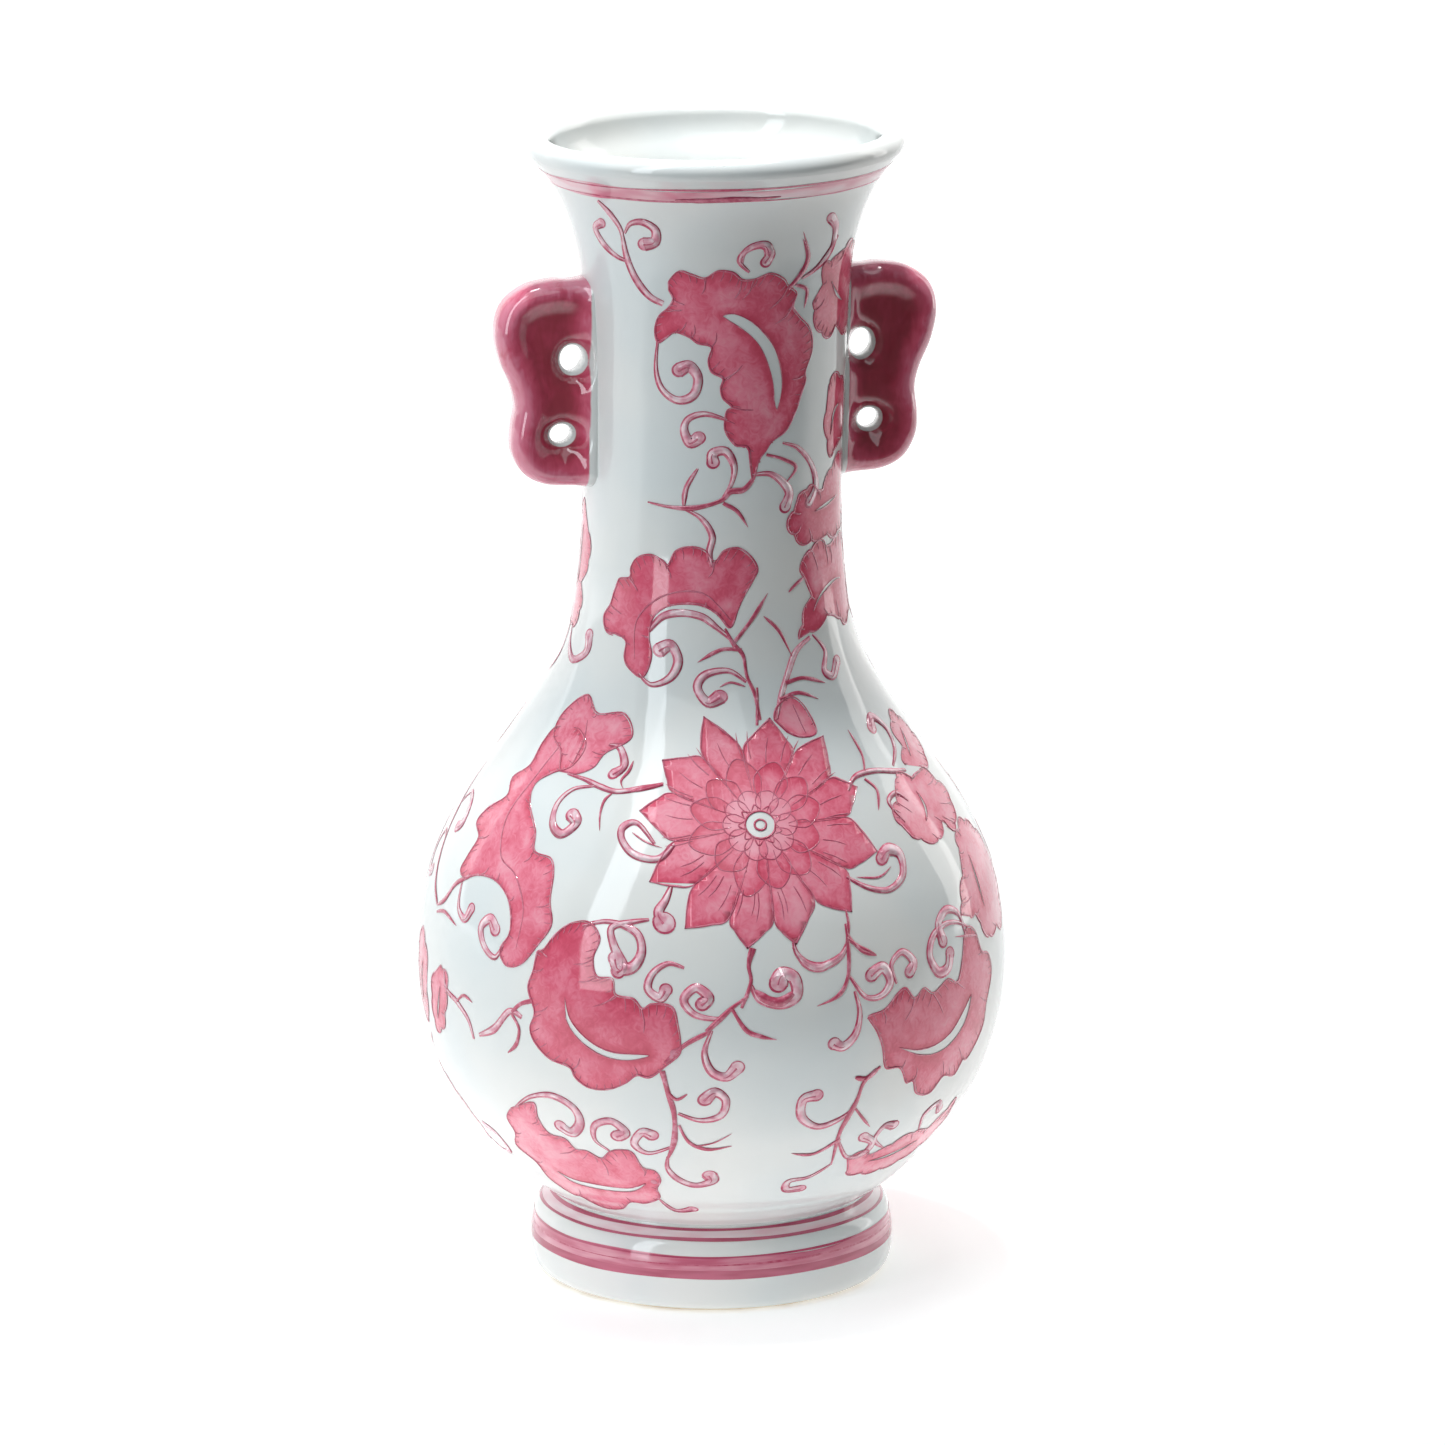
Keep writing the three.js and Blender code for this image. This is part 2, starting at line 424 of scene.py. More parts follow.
# %% Spin a section
ROUND = 256                                # faces round the vase
CREASE = math.radians(50)                  # an edge that turns more than this stays sharp
JOINT = -1                                 # in place of a distance: not on the glazed line


def wall_part(start, end, step=1.0):
    """Points (radius, height, distance along the line) between two places on the line."""
    along = np.linspace(start, end, max(2, int(abs(end - start) / step) + 1))
    return [(np.interp(a, ARC, line[:, 0]), np.interp(a, ARC, line[:, 1]), a) for a in along]


def spin_round(bm, ring):
    """Spin a closed ring of points once round the axis. An edge on the axis is left out."""
    edges = [bm.edges.new(pair) for pair in zip(ring, ring[1:] + ring[:1])
             if min(pair[0].co.y, pair[1].co.y) < 0]
    bmesh.ops.spin(bm, geom=ring + edges, axis=(0, 0, 1), cent=(0, 0, 0),
                   angle=2 * math.pi, steps=ROUND, use_merge=True)


def spin_section(name, outline):
    """Spin a closed outline of (radius, height, distance along the line) once round."""
    bm = bmesh.new()
    along = bm.verts.layers.float.new("along")
    ring = []
    for radius, height, distance in outline:
        corner = bm.verts.new((0, -radius, height))
        corner[along] = distance
        ring.append(corner)
    spin_round(bm, ring)
    bmesh.ops.remove_doubles(bm, verts=bm.verts, dist=0.001)
    face_out(bm)
    for e in bm.edges:
        if len(e.link_faces) == 2 and e.calc_face_angle() > CREASE:
            e.smooth = False
    piece = mesh_from(bm, name)
    points, place = coordinates(piece.data), kept(piece.data, "along")
    normals = on_wall(angle_of(points), np.maximum(place, 0))[1]
    normals[place < 0] = 0                 # joints keep their own shading
    set_coordinates(piece.data, lean(points))
    face_as_wall(piece.data, normals)
    return piece


def inside_at(z):
    """Distance along the line to a height on the inner wall."""
    inner = slice(OUTSIDE + len(lip_line) - 1, len(line) - len(floor_line))
    return float(np.interp(-z, -line[inner, 1], ARC[inner]))


# %% The foot ring, with its bare standing edge
FOOT_TOP, FOOT_BORE, FLOOR_UNDER = 22, 37.2, 15
BARE_BELOW = 0.9
foot = spin_section("foot_ring_glazed", wall_part(0, line_at_height(FOOT_TOP), 0.6)
                    + [(radius, height, JOINT) for radius, height in (
                        (FOOT_BORE, FOOT_TOP), (FOOT_BORE, 2.6), (37.5, 1.5), (38.2, 0.7),
                        (39.2, 0.15), (40.2, 0))])
for face in foot.data.polygons:            # the ring that touches the table is unglazed
    if face.center.z < BARE_BELOW:
        face.material_index = 1
finish_piece(foot, [white_glaze, biscuit], ["foot_ring"])

# %% Lower belly with the floor
BELLY_SEAM, NECK_START, MOUTH_START = 84, 169, 272
lower = spin_section("lower_belly_glazed",
                     [(0, FLOOR_UNDER, JOINT), (FOOT_BORE - 1.5, FLOOR_UNDER, JOINT),
                      (FOOT_BORE, FLOOR_UNDER - 1.2, JOINT), (FOOT_BORE, FOOT_TOP, JOINT)]
                     + wall_part(line_at_height(FOOT_TOP), line_at_height(BELLY_SEAM))
                     + wall_part(inside_at(BELLY_SEAM), ARC[-1], 1.5))
finish_piece(lower, [white_glaze], ["lower_belly"])

# %% Upper belly, neck and mouth
for stands_for, low, high in (("upper_belly", BELLY_SEAM, NECK_START),
                              ("neck", NECK_START, MOUTH_START)):
    tube = spin_section(stands_for + "_glazed",
                        wall_part(line_at_height(low), line_at_height(high))
                        + wall_part(inside_at(high), inside_at(low), 1.5))
    finish_piece(tube, [white_glaze], [stands_for])
mouth = spin_section("flared_mouth_glazed",
                     wall_part(line_at_height(MOUTH_START), inside_at(MOUTH_START), 0.5))
finish_piece(mouth, [white_glaze], ["flared_mouth"])

# %% [markdown]
# ## The two ear handles
#
# A handle is a flat scroll of clay, pressed with a tool so that its middle is dished and
# its rim stands up, pierced by two small holes and stuck to the neck. The easiest start
# is a flat curve with two holes in it: Blender fills it, gives it thickness and rounds
# its edges. A voxel remesh then turns it to an even skin that can be pressed in and
# smoothed like clay.

# %% The outline of a handle, as distance from the axis and height
HANDLE_OUTLINE = [(28, 265.6), (33, 264.6), (38, 264.0), (43, 264.2), (50, 262.8),
                  (55.8, 258.4), (57.9, 251.6), (56.5, 243.6), (53.7, 237), (52.5, 231.6),
                  (53.3, 225.2), (53, 219.2), (49.9, 213.6), (44.4, 210.7), (37, 210.0),
                  (33, 209.6), (28, 209)]
HANDLE_HOLES = [(37.9, 243.5, 2.9, 3.4), (40.4, 223.8, 2.8, 2.5)]   # middle and half sizes
HANDLE_THICK, HANDLE_ROUND = 13.2, 5.0
HANDLE_ROOT, NECK_SIDE = 31.4, 33.5        # cut inside the neck wall; where it comes out
DISH, PINCH, FLARE = 0.28, 0.10, 0.30      # share of the thickness: dish, holes, root
VOXEL = 0.42


def ring_points(x, y, half_x, half_y, count=40):
    """Points round an ellipse."""
    around = np.linspace(0, 2 * math.pi, count, endpoint=False)
    return np.stack([x + half_x * np.cos(around), y + half_y * np.sin(around)], 1)


def add_loop(data, points, closed=True):
    """Add one loop or line of straight pieces to a curve."""
    spline = data.splines.new("POLY")
    spline.points.add(len(points) - 1)
    flat = np.zeros((len(points), 4))
    flat[:, :2] = points
    spline.points.foreach_set("co", flat.ravel())
    spline.use_cyclic_u = closed
    return spline


def flat_curve(name, loops):
    """A filled flat curve in the XY plane. Loops inside the first one become holes."""
    data = bpy.data.curves.new(name, "CURVE")
    data.dimensions = "2D"
    data.fill_mode = "BOTH"
    for loop in loops:
        add_loop(data, loop)
    return data


def shown_mesh(data, voxel=None):
    """The mesh that a curve or a mesh shows, remeshed to an even skin if a size is given."""
    holder = put("holder", data)
    if voxel:
        remesh = holder.modifiers.new("even_skin", "REMESH")
        remesh.mode, remesh.voxel_size = "VOXEL", voxel
    bpy.context.view_layer.update()
    graph = bpy.context.evaluated_depsgraph_get()
    mesh = bpy.data.meshes.new_from_object(holder.evaluated_get(graph), depsgraph=graph)
    bpy.data.objects.remove(holder)
    return mesh


# %% Thicken, remesh and press one handle
def gather(points, targets):
    """Distance from each point to the nearest of the targets."""
    tree = kdtree.KDTree(len(targets))
    for i, (x, y) in enumerate(targets):
        tree.insert((x, y, 0), i)
    tree.balance()
    return np.array([tree.find((x, y, 0))[2] for x, y in points])


def ease(value, low, high):
    """0 below low, 1 above high, and a soft rise between."""
    t = np.clip((value - low) / (high - low), 0, 1)
    return t * t * (3 - 2 * t)


def handle_skin():
    """The flat handle, pressed, with how dished and how near rim and holes each point is."""
    rim = smooth_line(HANDLE_OUTLINE, 12)
    holes = [ring_points(*hole) for hole in HANDLE_HOLES]
    data = flat_curve("handle_outline", [rim] + holes)
    data.bevel_depth = HANDLE_ROUND
    data.bevel_resolution = 6
    data.extrude = HANDLE_THICK / 2 - HANDLE_ROUND
    data.offset = -HANDLE_ROUND
    mesh = shown_mesh(shown_mesh(data), VOXEL)
    bm = bmesh_of(mesh)
    for _ in range(4):
        bmesh.ops.smooth_vert(bm, verts=bm.verts, factor=0.5, use_axis_x=True,
                              use_axis_y=True, use_axis_z=True)
    points = coordinates(back_to(mesh, bm))
    from_rim = gather(points[:, :2], rim[rim[:, 0] > 33])     # the rim outside the neck
    from_hole = gather(points[:, :2], np.concatenate(holes))
    to_neck = points[:, 0] - NECK_SIDE
    dish = ease(from_rim, 2.8, 9.5) * ease(to_neck, 0, 7)
    points[:, 2] *= 1 - DISH * dish - PINCH * (1 - ease(from_hole, 0, 3))
    points[:, 2] *= 1 + FLARE * (1 - ease(to_neck, -1.5, 4.5)) ** 1.5
    points[:, 2] += 0.25 * np.sin(points[:, 1] / 7.0) * dish * np.sign(points[:, 2])
    set_coordinates(mesh, points)
    return mesh, dish, from_rim, from_hole


skin, dish, from_rim, from_hole = handle_skin()
print("handle skin:", len(skin.vertices), "points, pressed in",
      round(DISH * HANDLE_THICK / 2, 1), "mm")


# %% Stand the handles up against the neck
def handle(name, side, white_reach, stands_for):
    """side is 1 for right, -1 for left; white_reach is how much white shows by the neck."""
    mesh = skin.copy()
    mesh.name = name
    points = coordinates(mesh)
    to_neck = points[:, 0] - NECK_SIDE
    funnel = 1 - ease(from_hole, 0.3, 1.5)
    root = 1 - ease(to_neck, -0.4, 0.4 + 1.2 * white_reach)
    # dish and rim steer the crimson: darker in the dish as painted shade and pooled glaze,
    # lighter on the rim as painted highlight and thin glaze
    keep(mesh, "dish", dish)
    keep(mesh, "rim", 1 - ease(from_rim, 1.0, 5.0))
    keep(mesh, "bare", np.maximum(funnel, root))
    upright = Matrix.Rotation(math.radians(90), 3, "X")
    set_coordinates(mesh, points @ np.array(upright).T)
    bm = bmesh_of(mesh)
    bmesh.ops.bisect_plane(bm, geom=bm.verts[:] + bm.edges[:] + bm.faces[:],
                           plane_co=(HANDLE_ROOT, 0, 0), plane_no=(1, 0, 0),
                           clear_inner=True)
    bmesh.ops.holes_fill(bm, edges=[e for e in bm.edges if e.is_boundary])
    if side < 0:
        bmesh.ops.rotate(bm, verts=bm.verts, matrix=Matrix.Rotation(math.pi, 3, "Z"))
    face_out(bm)
    set_coordinates(mesh, lean(coordinates(back_to(mesh, bm))))
    finish_piece(put(name, mesh), [pink_glaze], [stands_for])


# %% [markdown]
# The handles carry a running crimson glaze. It is lighter on the raised rim, partly from
# thinner glaze and partly as a painted highlight, and darker in the dish, partly from glaze
# pooled thick and partly as painted shade. It stops short of the neck and inside the holes,
# where the white body shows. The streaks follow the pull of the brush, up and down.

# %% Crimson glaze of the handles
def attribute(tree, name):
    """A number that was kept at each point of the mesh."""
    return add_node(tree, "ShaderNodeAttribute", attribute_name=name).outputs["Fac"]


pink_glaze, tree, output, in_mm = new_material("crimson_glaze_over_porcelain")
streaks = noise(tree, stretched(tree, in_mm, (1, 1, 0.32)), 3.0, 2.0, 0.5, 1.6)
clouds = noise(tree, in_mm, 9, 2.0, 0.5, 0.8)
# painted shade: the dish is darkened as if in shadow, as well as by the thicker glaze pooled
# there
depth = maths(tree, "MULTIPLY", attribute(tree, "dish"), 0.5)
depth = maths(tree, "MULTIPLY_ADD", clouds, 0.8, depth)
depth = maths(tree, "MULTIPLY_ADD", streaks, 0.4, depth)
depth = maths(tree, "MULTIPLY_ADD", attribute(tree, "rim"), -0.20, depth)   # painted highlight on the rim, with the thinner glaze there
crimson = ramp(tree, depth, 0.25, 1.2, (0, "E6879F"), (0.3, "D65E79"), (0.65, "C24A62"),
               (1, "A6404F"))
ragged = maths(tree, "MULTIPLY_ADD", noise(tree, in_mm, 5.0, 1.0), 0.5,
               attribute(tree, "bare"))
crimson = blend(tree, spread(tree, ragged, 0.62, 0.98), crimson, linear("E3E6E4"))
glazed(tree, output, in_mm, crimson, coat=1.0)

handle("ear_handle_left", -1, 1.0, "handle_left")
handle("ear_handle_right", 1, 0.4, "handle_right")

# %% [markdown]
# ## The painting, and how it is laid on the wall
#
# The painter worked in one pink colour: a pale wash fills each leaf and petal, a thin
# dark line goes round it, and scrolling tendrils join them. Fine painted lines stay sharp
# only if they are real shapes, so each stroke here is a very thin film of colour that
# lies on the wall. It is drawn flat first, in millimetres to the right and up from an
# anchor point, and is then wrapped onto the vase like a transfer.
#
# A leaf is a flat filled curve. A brush line is a curve with a thin flat section and a
# radius at each point that swells and thins as a brush does. Films are stacked a few
# hundredths of a millimetre apart: washes first, tendrils next, dark lines on top.

# %% Lists that collect the drawing
WASH, SHADOW, LIGHT, MIDDLE, DARK = 0.045, 0.07, 0.09, 0.11, 0.13   # layers over the wall
FILM = 0.018                                           # how thick a film is
washes, strokes = [], []          # filled in by the drawing calls below
here = (0, 0)                     # the anchor of the motif being drawn


def at(angle, height):
    """Start a motif: its points count from this angle and height on the wall."""
    global here
    here = (math.radians(angle), line_at_height(height))
    print(f"motif at {angle} degrees and {height} mm, after {len(washes)} washes")


def closed_line(points, steps=7):
    """A smooth closed line through the points."""
    points = list(points)
    line_round = smooth_line(points[-2:] + points + points[:2], steps)
    return line_round[2 * steps:-(2 * steps)]


def lay(path, width, layer, closed=False, uneven=0.25):
    """Keep one brush line, its width in mm at each point, a little uneven as a brush is."""
    phase = random.uniform(0, 6)
    length = np.cumsum(np.r_[0, np.hypot(*np.diff(path, axis=0).T)])
    swing = np.sin(length / 2.7 + phase) * np.sin(length / 7.1 + 2 * phase)
    strokes.append((here, layer, path, width * (1 + uneven * swing), closed))


def stroke(points, width, layer=DARK, taper=(0.25, 0.1), closed=False, uneven=0.25):
    """One brush line. taper is the share of its width that it has at each end."""
    path = closed_line(points) if closed else smooth_line(points, 7)
    share = np.linspace(0, 1, len(path))
    swell = np.ones(len(path)) if closed else np.interp(
        share, [0, 0.22, 0.7, 1], [taper[0], 1, 1, taper[1]])
    lay(path, swell * width, layer, closed, uneven)


def twig(points, width):
    """A short side line that thins out to nothing."""
    stroke(points, width, taper=(0.9, 0.1))


def disc(x, y, radius, layer):
    """A round touch of the brush."""
    washes.append((here, layer, ring_points(x, y, radius, radius * 0.94, 20), [], 0.4))


def ribbon(points, width=1.9, knob=0.0, start=0.35):
    """A tendril: two dark edges with pale wash between. With a knob it swells to a round
    curl like a comma, and without one it thins out."""
    path = smooth_line(points, 7)
    share = np.linspace(0, 1, len(path))
    end = 1.85 if knob else 0.5
    wide = width * np.interp(share, [0, 0.3, 0.7, 1], [start, 0.85, 1.3 if knob else 1, end])
    lay(path, wide, SHADOW, uneven=0.1)
    lay(path + (0.10, 0.12), np.maximum(wide - 0.85, 0.12), LIGHT, uneven=0.1)
    if knob:
        x, y = path[-1]
        round_end = max(knob + 0.35, wide[-1] / 2)
        disc(x, y, round_end, SHADOW)
        disc(x + 0.10, y + 0.12, round_end - 0.48, LIGHT)
        lay(path[-9:] - (0.2, 0.3), np.linspace(0.15, 0.6, 9), MIDDLE)


def curl(points, width=2.1, knob=1.4):
    """A tendril that rolls up to a round end."""
    ribbon(points, width, knob)


NOTCH = -0.12                      # sine of the least inward turn that counts as a notch


def valleys(outline, spine, width=0.35, reach=0.5):
    """Fine veins that run from the notches of an outline in towards a leaf's middle line."""
    points = closed_line(outline, 4)
    step = np.roll(points, -1, 0) - points
    turn = np.cross(np.roll(step, 1, 0), step)
    side = np.sign(turn.sum())
    bend = turn * side / (np.hypot(*step.T) * np.hypot(*np.roll(step, 1, 0).T) + 1e-9)
    spine = smooth_line(spine, 10)
    deepest = (bend < NOTCH) & (bend <= np.roll(bend, 1)) & (bend <= np.roll(bend, -1))
    for start in points[deepest]:
        inward = spine[np.argmin(np.hypot(*(spine - start).T))] - start
        middle = start + inward * reach * 0.5 + np.array([0.5, -0.3])
        end = start + inward * reach
        stroke([start, middle, end], width, MIDDLE, (1.0, 0.1), uneven=0.1)


def beside(path, distance):
    """A line that keeps a distance, in mm at each point, from the left of another one."""
    step = np.gradient(path, axis=0)
    left = np.stack([-step[:, 1], step[:, 0]], 1) / np.hypot(*step.T)[:, None]
    return path + left * distance[:, None]


def scalloped(outline, depth=1.3, pitch=7.5):
    """The outline with small round lobes and sharp notches between them."""
    path = closed_line(outline, 10)
    length = np.cumsum(np.hypot(*np.diff(path, axis=0, prepend=path[-1:]).T))
    count = round(length[-1] / pitch)
    turning = np.sign(np.cross(path, np.roll(path, -1, 0)).sum())
    lobe = np.abs(np.sin(math.pi * count * length / length[-1])) ** 0.6
    return beside(path, -turning * depth * (lobe - 0.65))


def slit(spine, half_width=0.75):
    """A thin white crescent along the middle of a leaf."""
    middle = smooth_line(spine, 12)
    middle = middle[len(middle) // 5:-len(middle) // 6]
    wide = half_width * np.sin(np.linspace(0.02, 0.98, len(middle)) * math.pi)
    return np.concatenate([beside(middle, wide), beside(middle, -0.4 * wide)[::-1]])


def hatching(shape, spine, pitch=2.4, reach=0.2):
    """Short fine strokes from the edge of a leaf in towards its middle line."""
    length = np.cumsum(np.hypot(*np.diff(shape, axis=0, prepend=shape[-1:]).T))
    spine = smooth_line(spine, 10)
    for i in np.searchsorted(length, np.arange(1.0, length[-1], pitch)):
        start = shape[min(i, len(shape) - 1)]
        inward = spine[np.argmin(np.hypot(*(spine - start).T))] - start
        end = start + inward * reach * random.uniform(0.6, 1.4)
        middle = (start + end) / 2 + (0.15, 0)
        stroke([start, middle, end], 0.24, MIDDLE, (1.0, 0.1), uneven=0.1)


MISSED = (0.22, 0.30)              # the painter's outline misses its wash by this much


def leaf(outline, reserve=None, spine=None, deep=0.5, edge=0.45, lobes=False):
    """A leaf: its wash with the white reserve left out, its dark outline and its veins."""
    shape = scalloped(outline) if lobes else closed_line(outline)
    holes = [closed_line(reserve, 5)] if reserve else [slit(spine)] if lobes else []
    washes.append((here, WASH, shape, holes, deep))
    lay(shape + MISSED, np.full(len(shape), edge), DARK, True, 0.5)
    if holes:
        lay(holes[0], np.full(len(holes[0]), edge * 0.6), DARK, True, 0.5)
    if spine:
        valleys(shape[::5] if lobes else outline, spine)
        hatching(shape, spine)
        if not holes:
            stroke(spine, edge * 0.9, MIDDLE, (0.8, 0.15))


# %% [markdown]
# ### The lotus
#
# The flower in the middle of the belly has twelve pointed outer petals, a second and a
# third ring of smaller ones, and a white eye. Its inner rings are regular enough for a
# formula. The outer petals were painted freely, so their tips and notches are listed.

# %% Lotus petals
EYE = (1.4, 3.2)
PETAL_TIPS = [(-9.9, 32.7), (6.9, 31.6), (21.6, 25.2), (30.1, 10.2), (33.4, -7.3),
              (23.7, -21.4), (8, -28), (-4.5, -28.4), (-19.9, -23.4), (-28.1, -11.9),
              (-29, 6.6), (-21.6, 20.6)]
PETAL_NOTCHES = [(-0.9, 23), (12.2, 21.2), (21.2, 13.6), (24.6, 3), (22.6, -10.1),
                 (13.4, -16.8), (2.6, -21), (-8.4, -20.4), (-16.4, -12), (-20.4, -0.9),
                 (-19.4, 11.8), (-10.8, 21.2)]


def petal(angle, near, far, half, point=1.0):
    """A petal outline round the eye; point 1 gives a sharp tip and 0 a round one."""
    along = [near, near + (far - near) * 0.45, near + (far - near) * 0.82, far]
    wide = [half * 0.55, half, half * (0.62 if point else 0.8), 0]
    left = [(a, w) for a, w in zip(along, wide)]
    right = [(a, -w) for a, w in zip(along[-2::-1], wide[-2::-1])]
    c, s = math.cos(angle), math.sin(angle)
    return [(EYE[0] + a * c - w * s, EYE[1] + a * s + w * c) for a, w in left + right]


at(-2.5, 130)
eye = np.array(EYE)
for i, tip in enumerate(np.array(PETAL_TIPS)):
    first, last = np.array(PETAL_NOTCHES[i - 1]), np.array(PETAL_NOTCHES[i])
    out = (tip - eye) / np.hypot(*(tip - eye))
    side = np.array([-out[1], out[0]])
    lean_in = [eye + (p - eye) * 0.42 for p in (first, last)]
    bow_1 = (first + tip) / 2 + side * 0.9 * np.sign((first - tip) @ side)
    bow_2 = (last + tip) / 2 + side * 0.9 * np.sign((last - tip) @ side)
    shape = [lean_in[0], first, bow_1, tip + (bow_1 - tip) * 0.1, tip,
             tip + (bow_2 - tip) * 0.1, bow_2, last, lean_in[1]]
    washes.append((here, WASH + 0.003 * (i % 3), closed_line(shape, 6), [], 0.42))
    stroke(shape, 0.45, MIDDLE, uneven=0.45)
    for turn_out in (-0.35, 0.0, 0.35):
        fan = out + side * turn_out
        stroke([eye + fan * 17, eye + fan * 20.5 + side * 0.3, eye + fan * 24], 0.3,
               MIDDLE, (0.8, 0.1))
for i in range(12):
    angle = math.radians(13 + 30 * i + random.uniform(-3, 3))
    far = 17.5 + random.uniform(-1.6, 1.8)
    shape = petal(angle, 7, far, 4.5)
    washes.append((here, WASH + 0.012 + 0.003 * (i % 2), closed_line(shape, 5), [], 0.52))
    stroke(shape, 0.3, MIDDLE, (0.6, 0.6), uneven=0.4)
for i in range(10):
    angle = math.radians(36 * i + random.uniform(-3, 3))
    shape = petal(angle, 3.6, 9.6, 2.9, point=0)
    washes.append((here, WASH + 0.024, closed_line(shape, 5), [], 0.1))
    stroke(shape, 0.3, MIDDLE, (0.6, 0.6), uneven=0.4)
for i in range(9):
    angle = math.radians(20 + 40 * i)
    stroke([eye + reach * np.array([math.cos(angle + turn), math.sin(angle + turn)])
            for reach, turn in ((4.1, -0.3), (5.6, 0), (4.1, 0.3))], 0.4)
washes.append((here, WASH, ring_points(*EYE, 12, 12), [ring_points(*EYE, 3.8, 3.6)], 0.55))
stroke(ring_points(*EYE, 3.9, 3.7, 16), 0.5, DARK + 0.02, closed=True)
stroke(ring_points(*EYE, 1.5, 1.4, 10), 0.62, DARK + 0.02, closed=True)
print("the lotus is", len(washes), "washes and", len(strokes), "lines")

# %% Tendrils round the lotus
ribbon([(-26, -2), (-30, 3.2), (-34, 1.8), (-34.6, -1.6), (-31.6, -5.2), (-25.4, -5.9),
        (-21, -1.8)], 2.4)
stroke([(-31.6, 0.6), (-28.5, -1.5), (-24, -3)], 0.5)
curl([(-22.6, -12.6), (-24.4, -16.4), (-26.4, -19.6), (-25.2, -22.2)], 2.4, 2.7)
stroke([(-31, 11.6), (-26.5, 12.9), (-22.2, 14.2)], 1.1, taper=(0.3, 0.8))
stroke([(-29.5, 19.8), (-31, 17), (-33.4, 14.2), (-33, 12)], 0.6)
stroke([(-40.6, 0.2), (-40.2, 4.4), (-38.6, 8.4), (-35.6, 11)], 0.65)
curl([(-29, -21.6), (-34, -22.6), (-39, -24.4), (-38.6, -28.8), (-36.3, -33.6),
      (-37.8, -35.2)], 2.1, 1.5)
curl([(-20.6, -33.4), (-24.6, -32.4), (-28.6, -35), (-30, -39), (-27, -41.2), (-25.4, -39)],
     1.9, 1.4)
curl([(23.2, -12.6), (29.4, -16.2), (35.9, -17.6), (41, -14.8), (41, -9.6), (37.2, -7.6),
      (34.6, -9.4)], 2.2, 1.5)
stroke([(26, -13), (33, -14), (37.3, -12)], 0.5)
leaf([(8, 31), (9.4, 34.6), (13.6, 36.4), (17.2, 33), (19.6, 26.4), (15.2, 25.6), (11, 27.6)],
     spine=[(13.8, 34.6), (15.4, 30), (16.6, 26.6)], deep=0.3)
ribbon([(7.3, -27.6), (8.2, -30.6), (10.9, -33.2), (15.1, -34.2), (20.1, -32.2), (22.6, -28)],
       2.1)
stroke([(22, -20.5), (22.6, -25), (21.4, -30)], 0.8)
twig([(21.8, -28), (25.6, -30.6), (30.4, -33.2)], 0.9)
stroke([(-3.6, -28.4), (-4.4, -32), (-3.8, -36)], 0.8, taper=(0.9, 0.7))
stroke([(4.4, 40), (4, 35), (3.4, 30)], 0.8, taper=(0.6, 0.9))
print("with its tendrils it is", len(strokes), "lines")

# %% [markdown]
# ### Leaves and tendrils of the belly

# %% Below the lotus
at(-2, 70)
stroke([(-3.5, 34.6), (-5, 30.4), (-4.6, 26), (-7.1, 19.6)], 1.2, taper=(0.9, 0.6))
curl([(-4.6, 25.3), (-2.4, 21.4), (2.9, 19.9), (7, 22), (6.6, 26.4), (3.6, 27.6), (2.4, 25.4)],
     2.7, 1.3)
stroke([(-3.6, 24), (-0.6, 21.5), (3, 20.8), (6.2, 22.8)], 2.3, taper=(0.2, 0.5))
curl([(-10.4, 18.6), (-13.1, 16.9), (-18.9, 18), (-21.6, 21.7), (-18.5, 24.8), (-15.4, 22.4),
      (-17, 20.6)], 2.0, 1.1)
stroke([(-16, 13.6), (-12.6, 16.8), (-9.6, 19.6), (-5.4, 22.6)], 1.2, taper=(0.9, 0.8))
twig([(-9.6, 19.6), (-6, 13.9), (-2, 12), (1.9, 11)], 1.0)
curl([(-14.6, 13.9), (-16.4, 8.1), (-14.6, 3), (-10.8, 1.4), (-8, 4)])
stroke([(-15.3, 13.5), (-21.4, 10), (-26.3, 5)], 1.2, taper=(0.9, 0.6))
disc(-23.9, 7.8, 1.2, DARK)
stroke([(-27, 2.8), (-25.3, -3.3), (-23.4, -9.7), (-22.8, -18.3), (-23.9, -25)], 1.5,
       taper=(0.9, 0.5))
stroke([(-25.3, -3.3), (-23, -5.2), (-20.4, -3.6)], 0.9, taper=(0.9, 0.3))
curl([(-23.9, -24), (-23.5, -28.6), (-20.4, -33), (-15.6, -35.6), (-11.6, -33.6),
      (-12.6, -31)], 2.1, 1.5)
curl([(-22.4, -9.4), (-16.7, -11.4), (-11.6, -9.9), (-10.6, -5.4), (-13.4, -3), (-15.9, -5.2)],
     2.1, 1.5)
twig([(-22, -13), (-18.9, -18.6), (-13.9, -21), (-8, -19.8)], 1.0)
twig([(-17, -19.9), (-12.6, -18.6), (-8.4, -15.6)], 0.5)
curl([(-22.6, -20), (-28.9, -23.2), (-33, -20.2), (-31.4, -16), (-28.6, -16.8)], 2.0, 1.4)
ribbon([(6.6, 34.4), (9.7, 29.7), (14, 28.4), (19.7, 31.4)], 2.1)
stroke([(21.1, 38.9), (21.6, 32), (21.1, 25.3), (18.3, 21), (12.4, 18.9)], 1.1,
       taper=(0.8, 0.1))
twig([(21.4, 36), (25.4, 31.4), (29.8, 29.7)], 0.9)
curl([(21.6, 25.6), (26.1, 19.8), (31, 19.4), (33.8, 22.6), (31.6, 26.4), (28, 25)], 2.1, 1.5)
curl([(23, 21.6), (24.4, 16), (23.3, 10.6), (20, 7.6), (17.2, 8.6)], 2.0, 1.4)
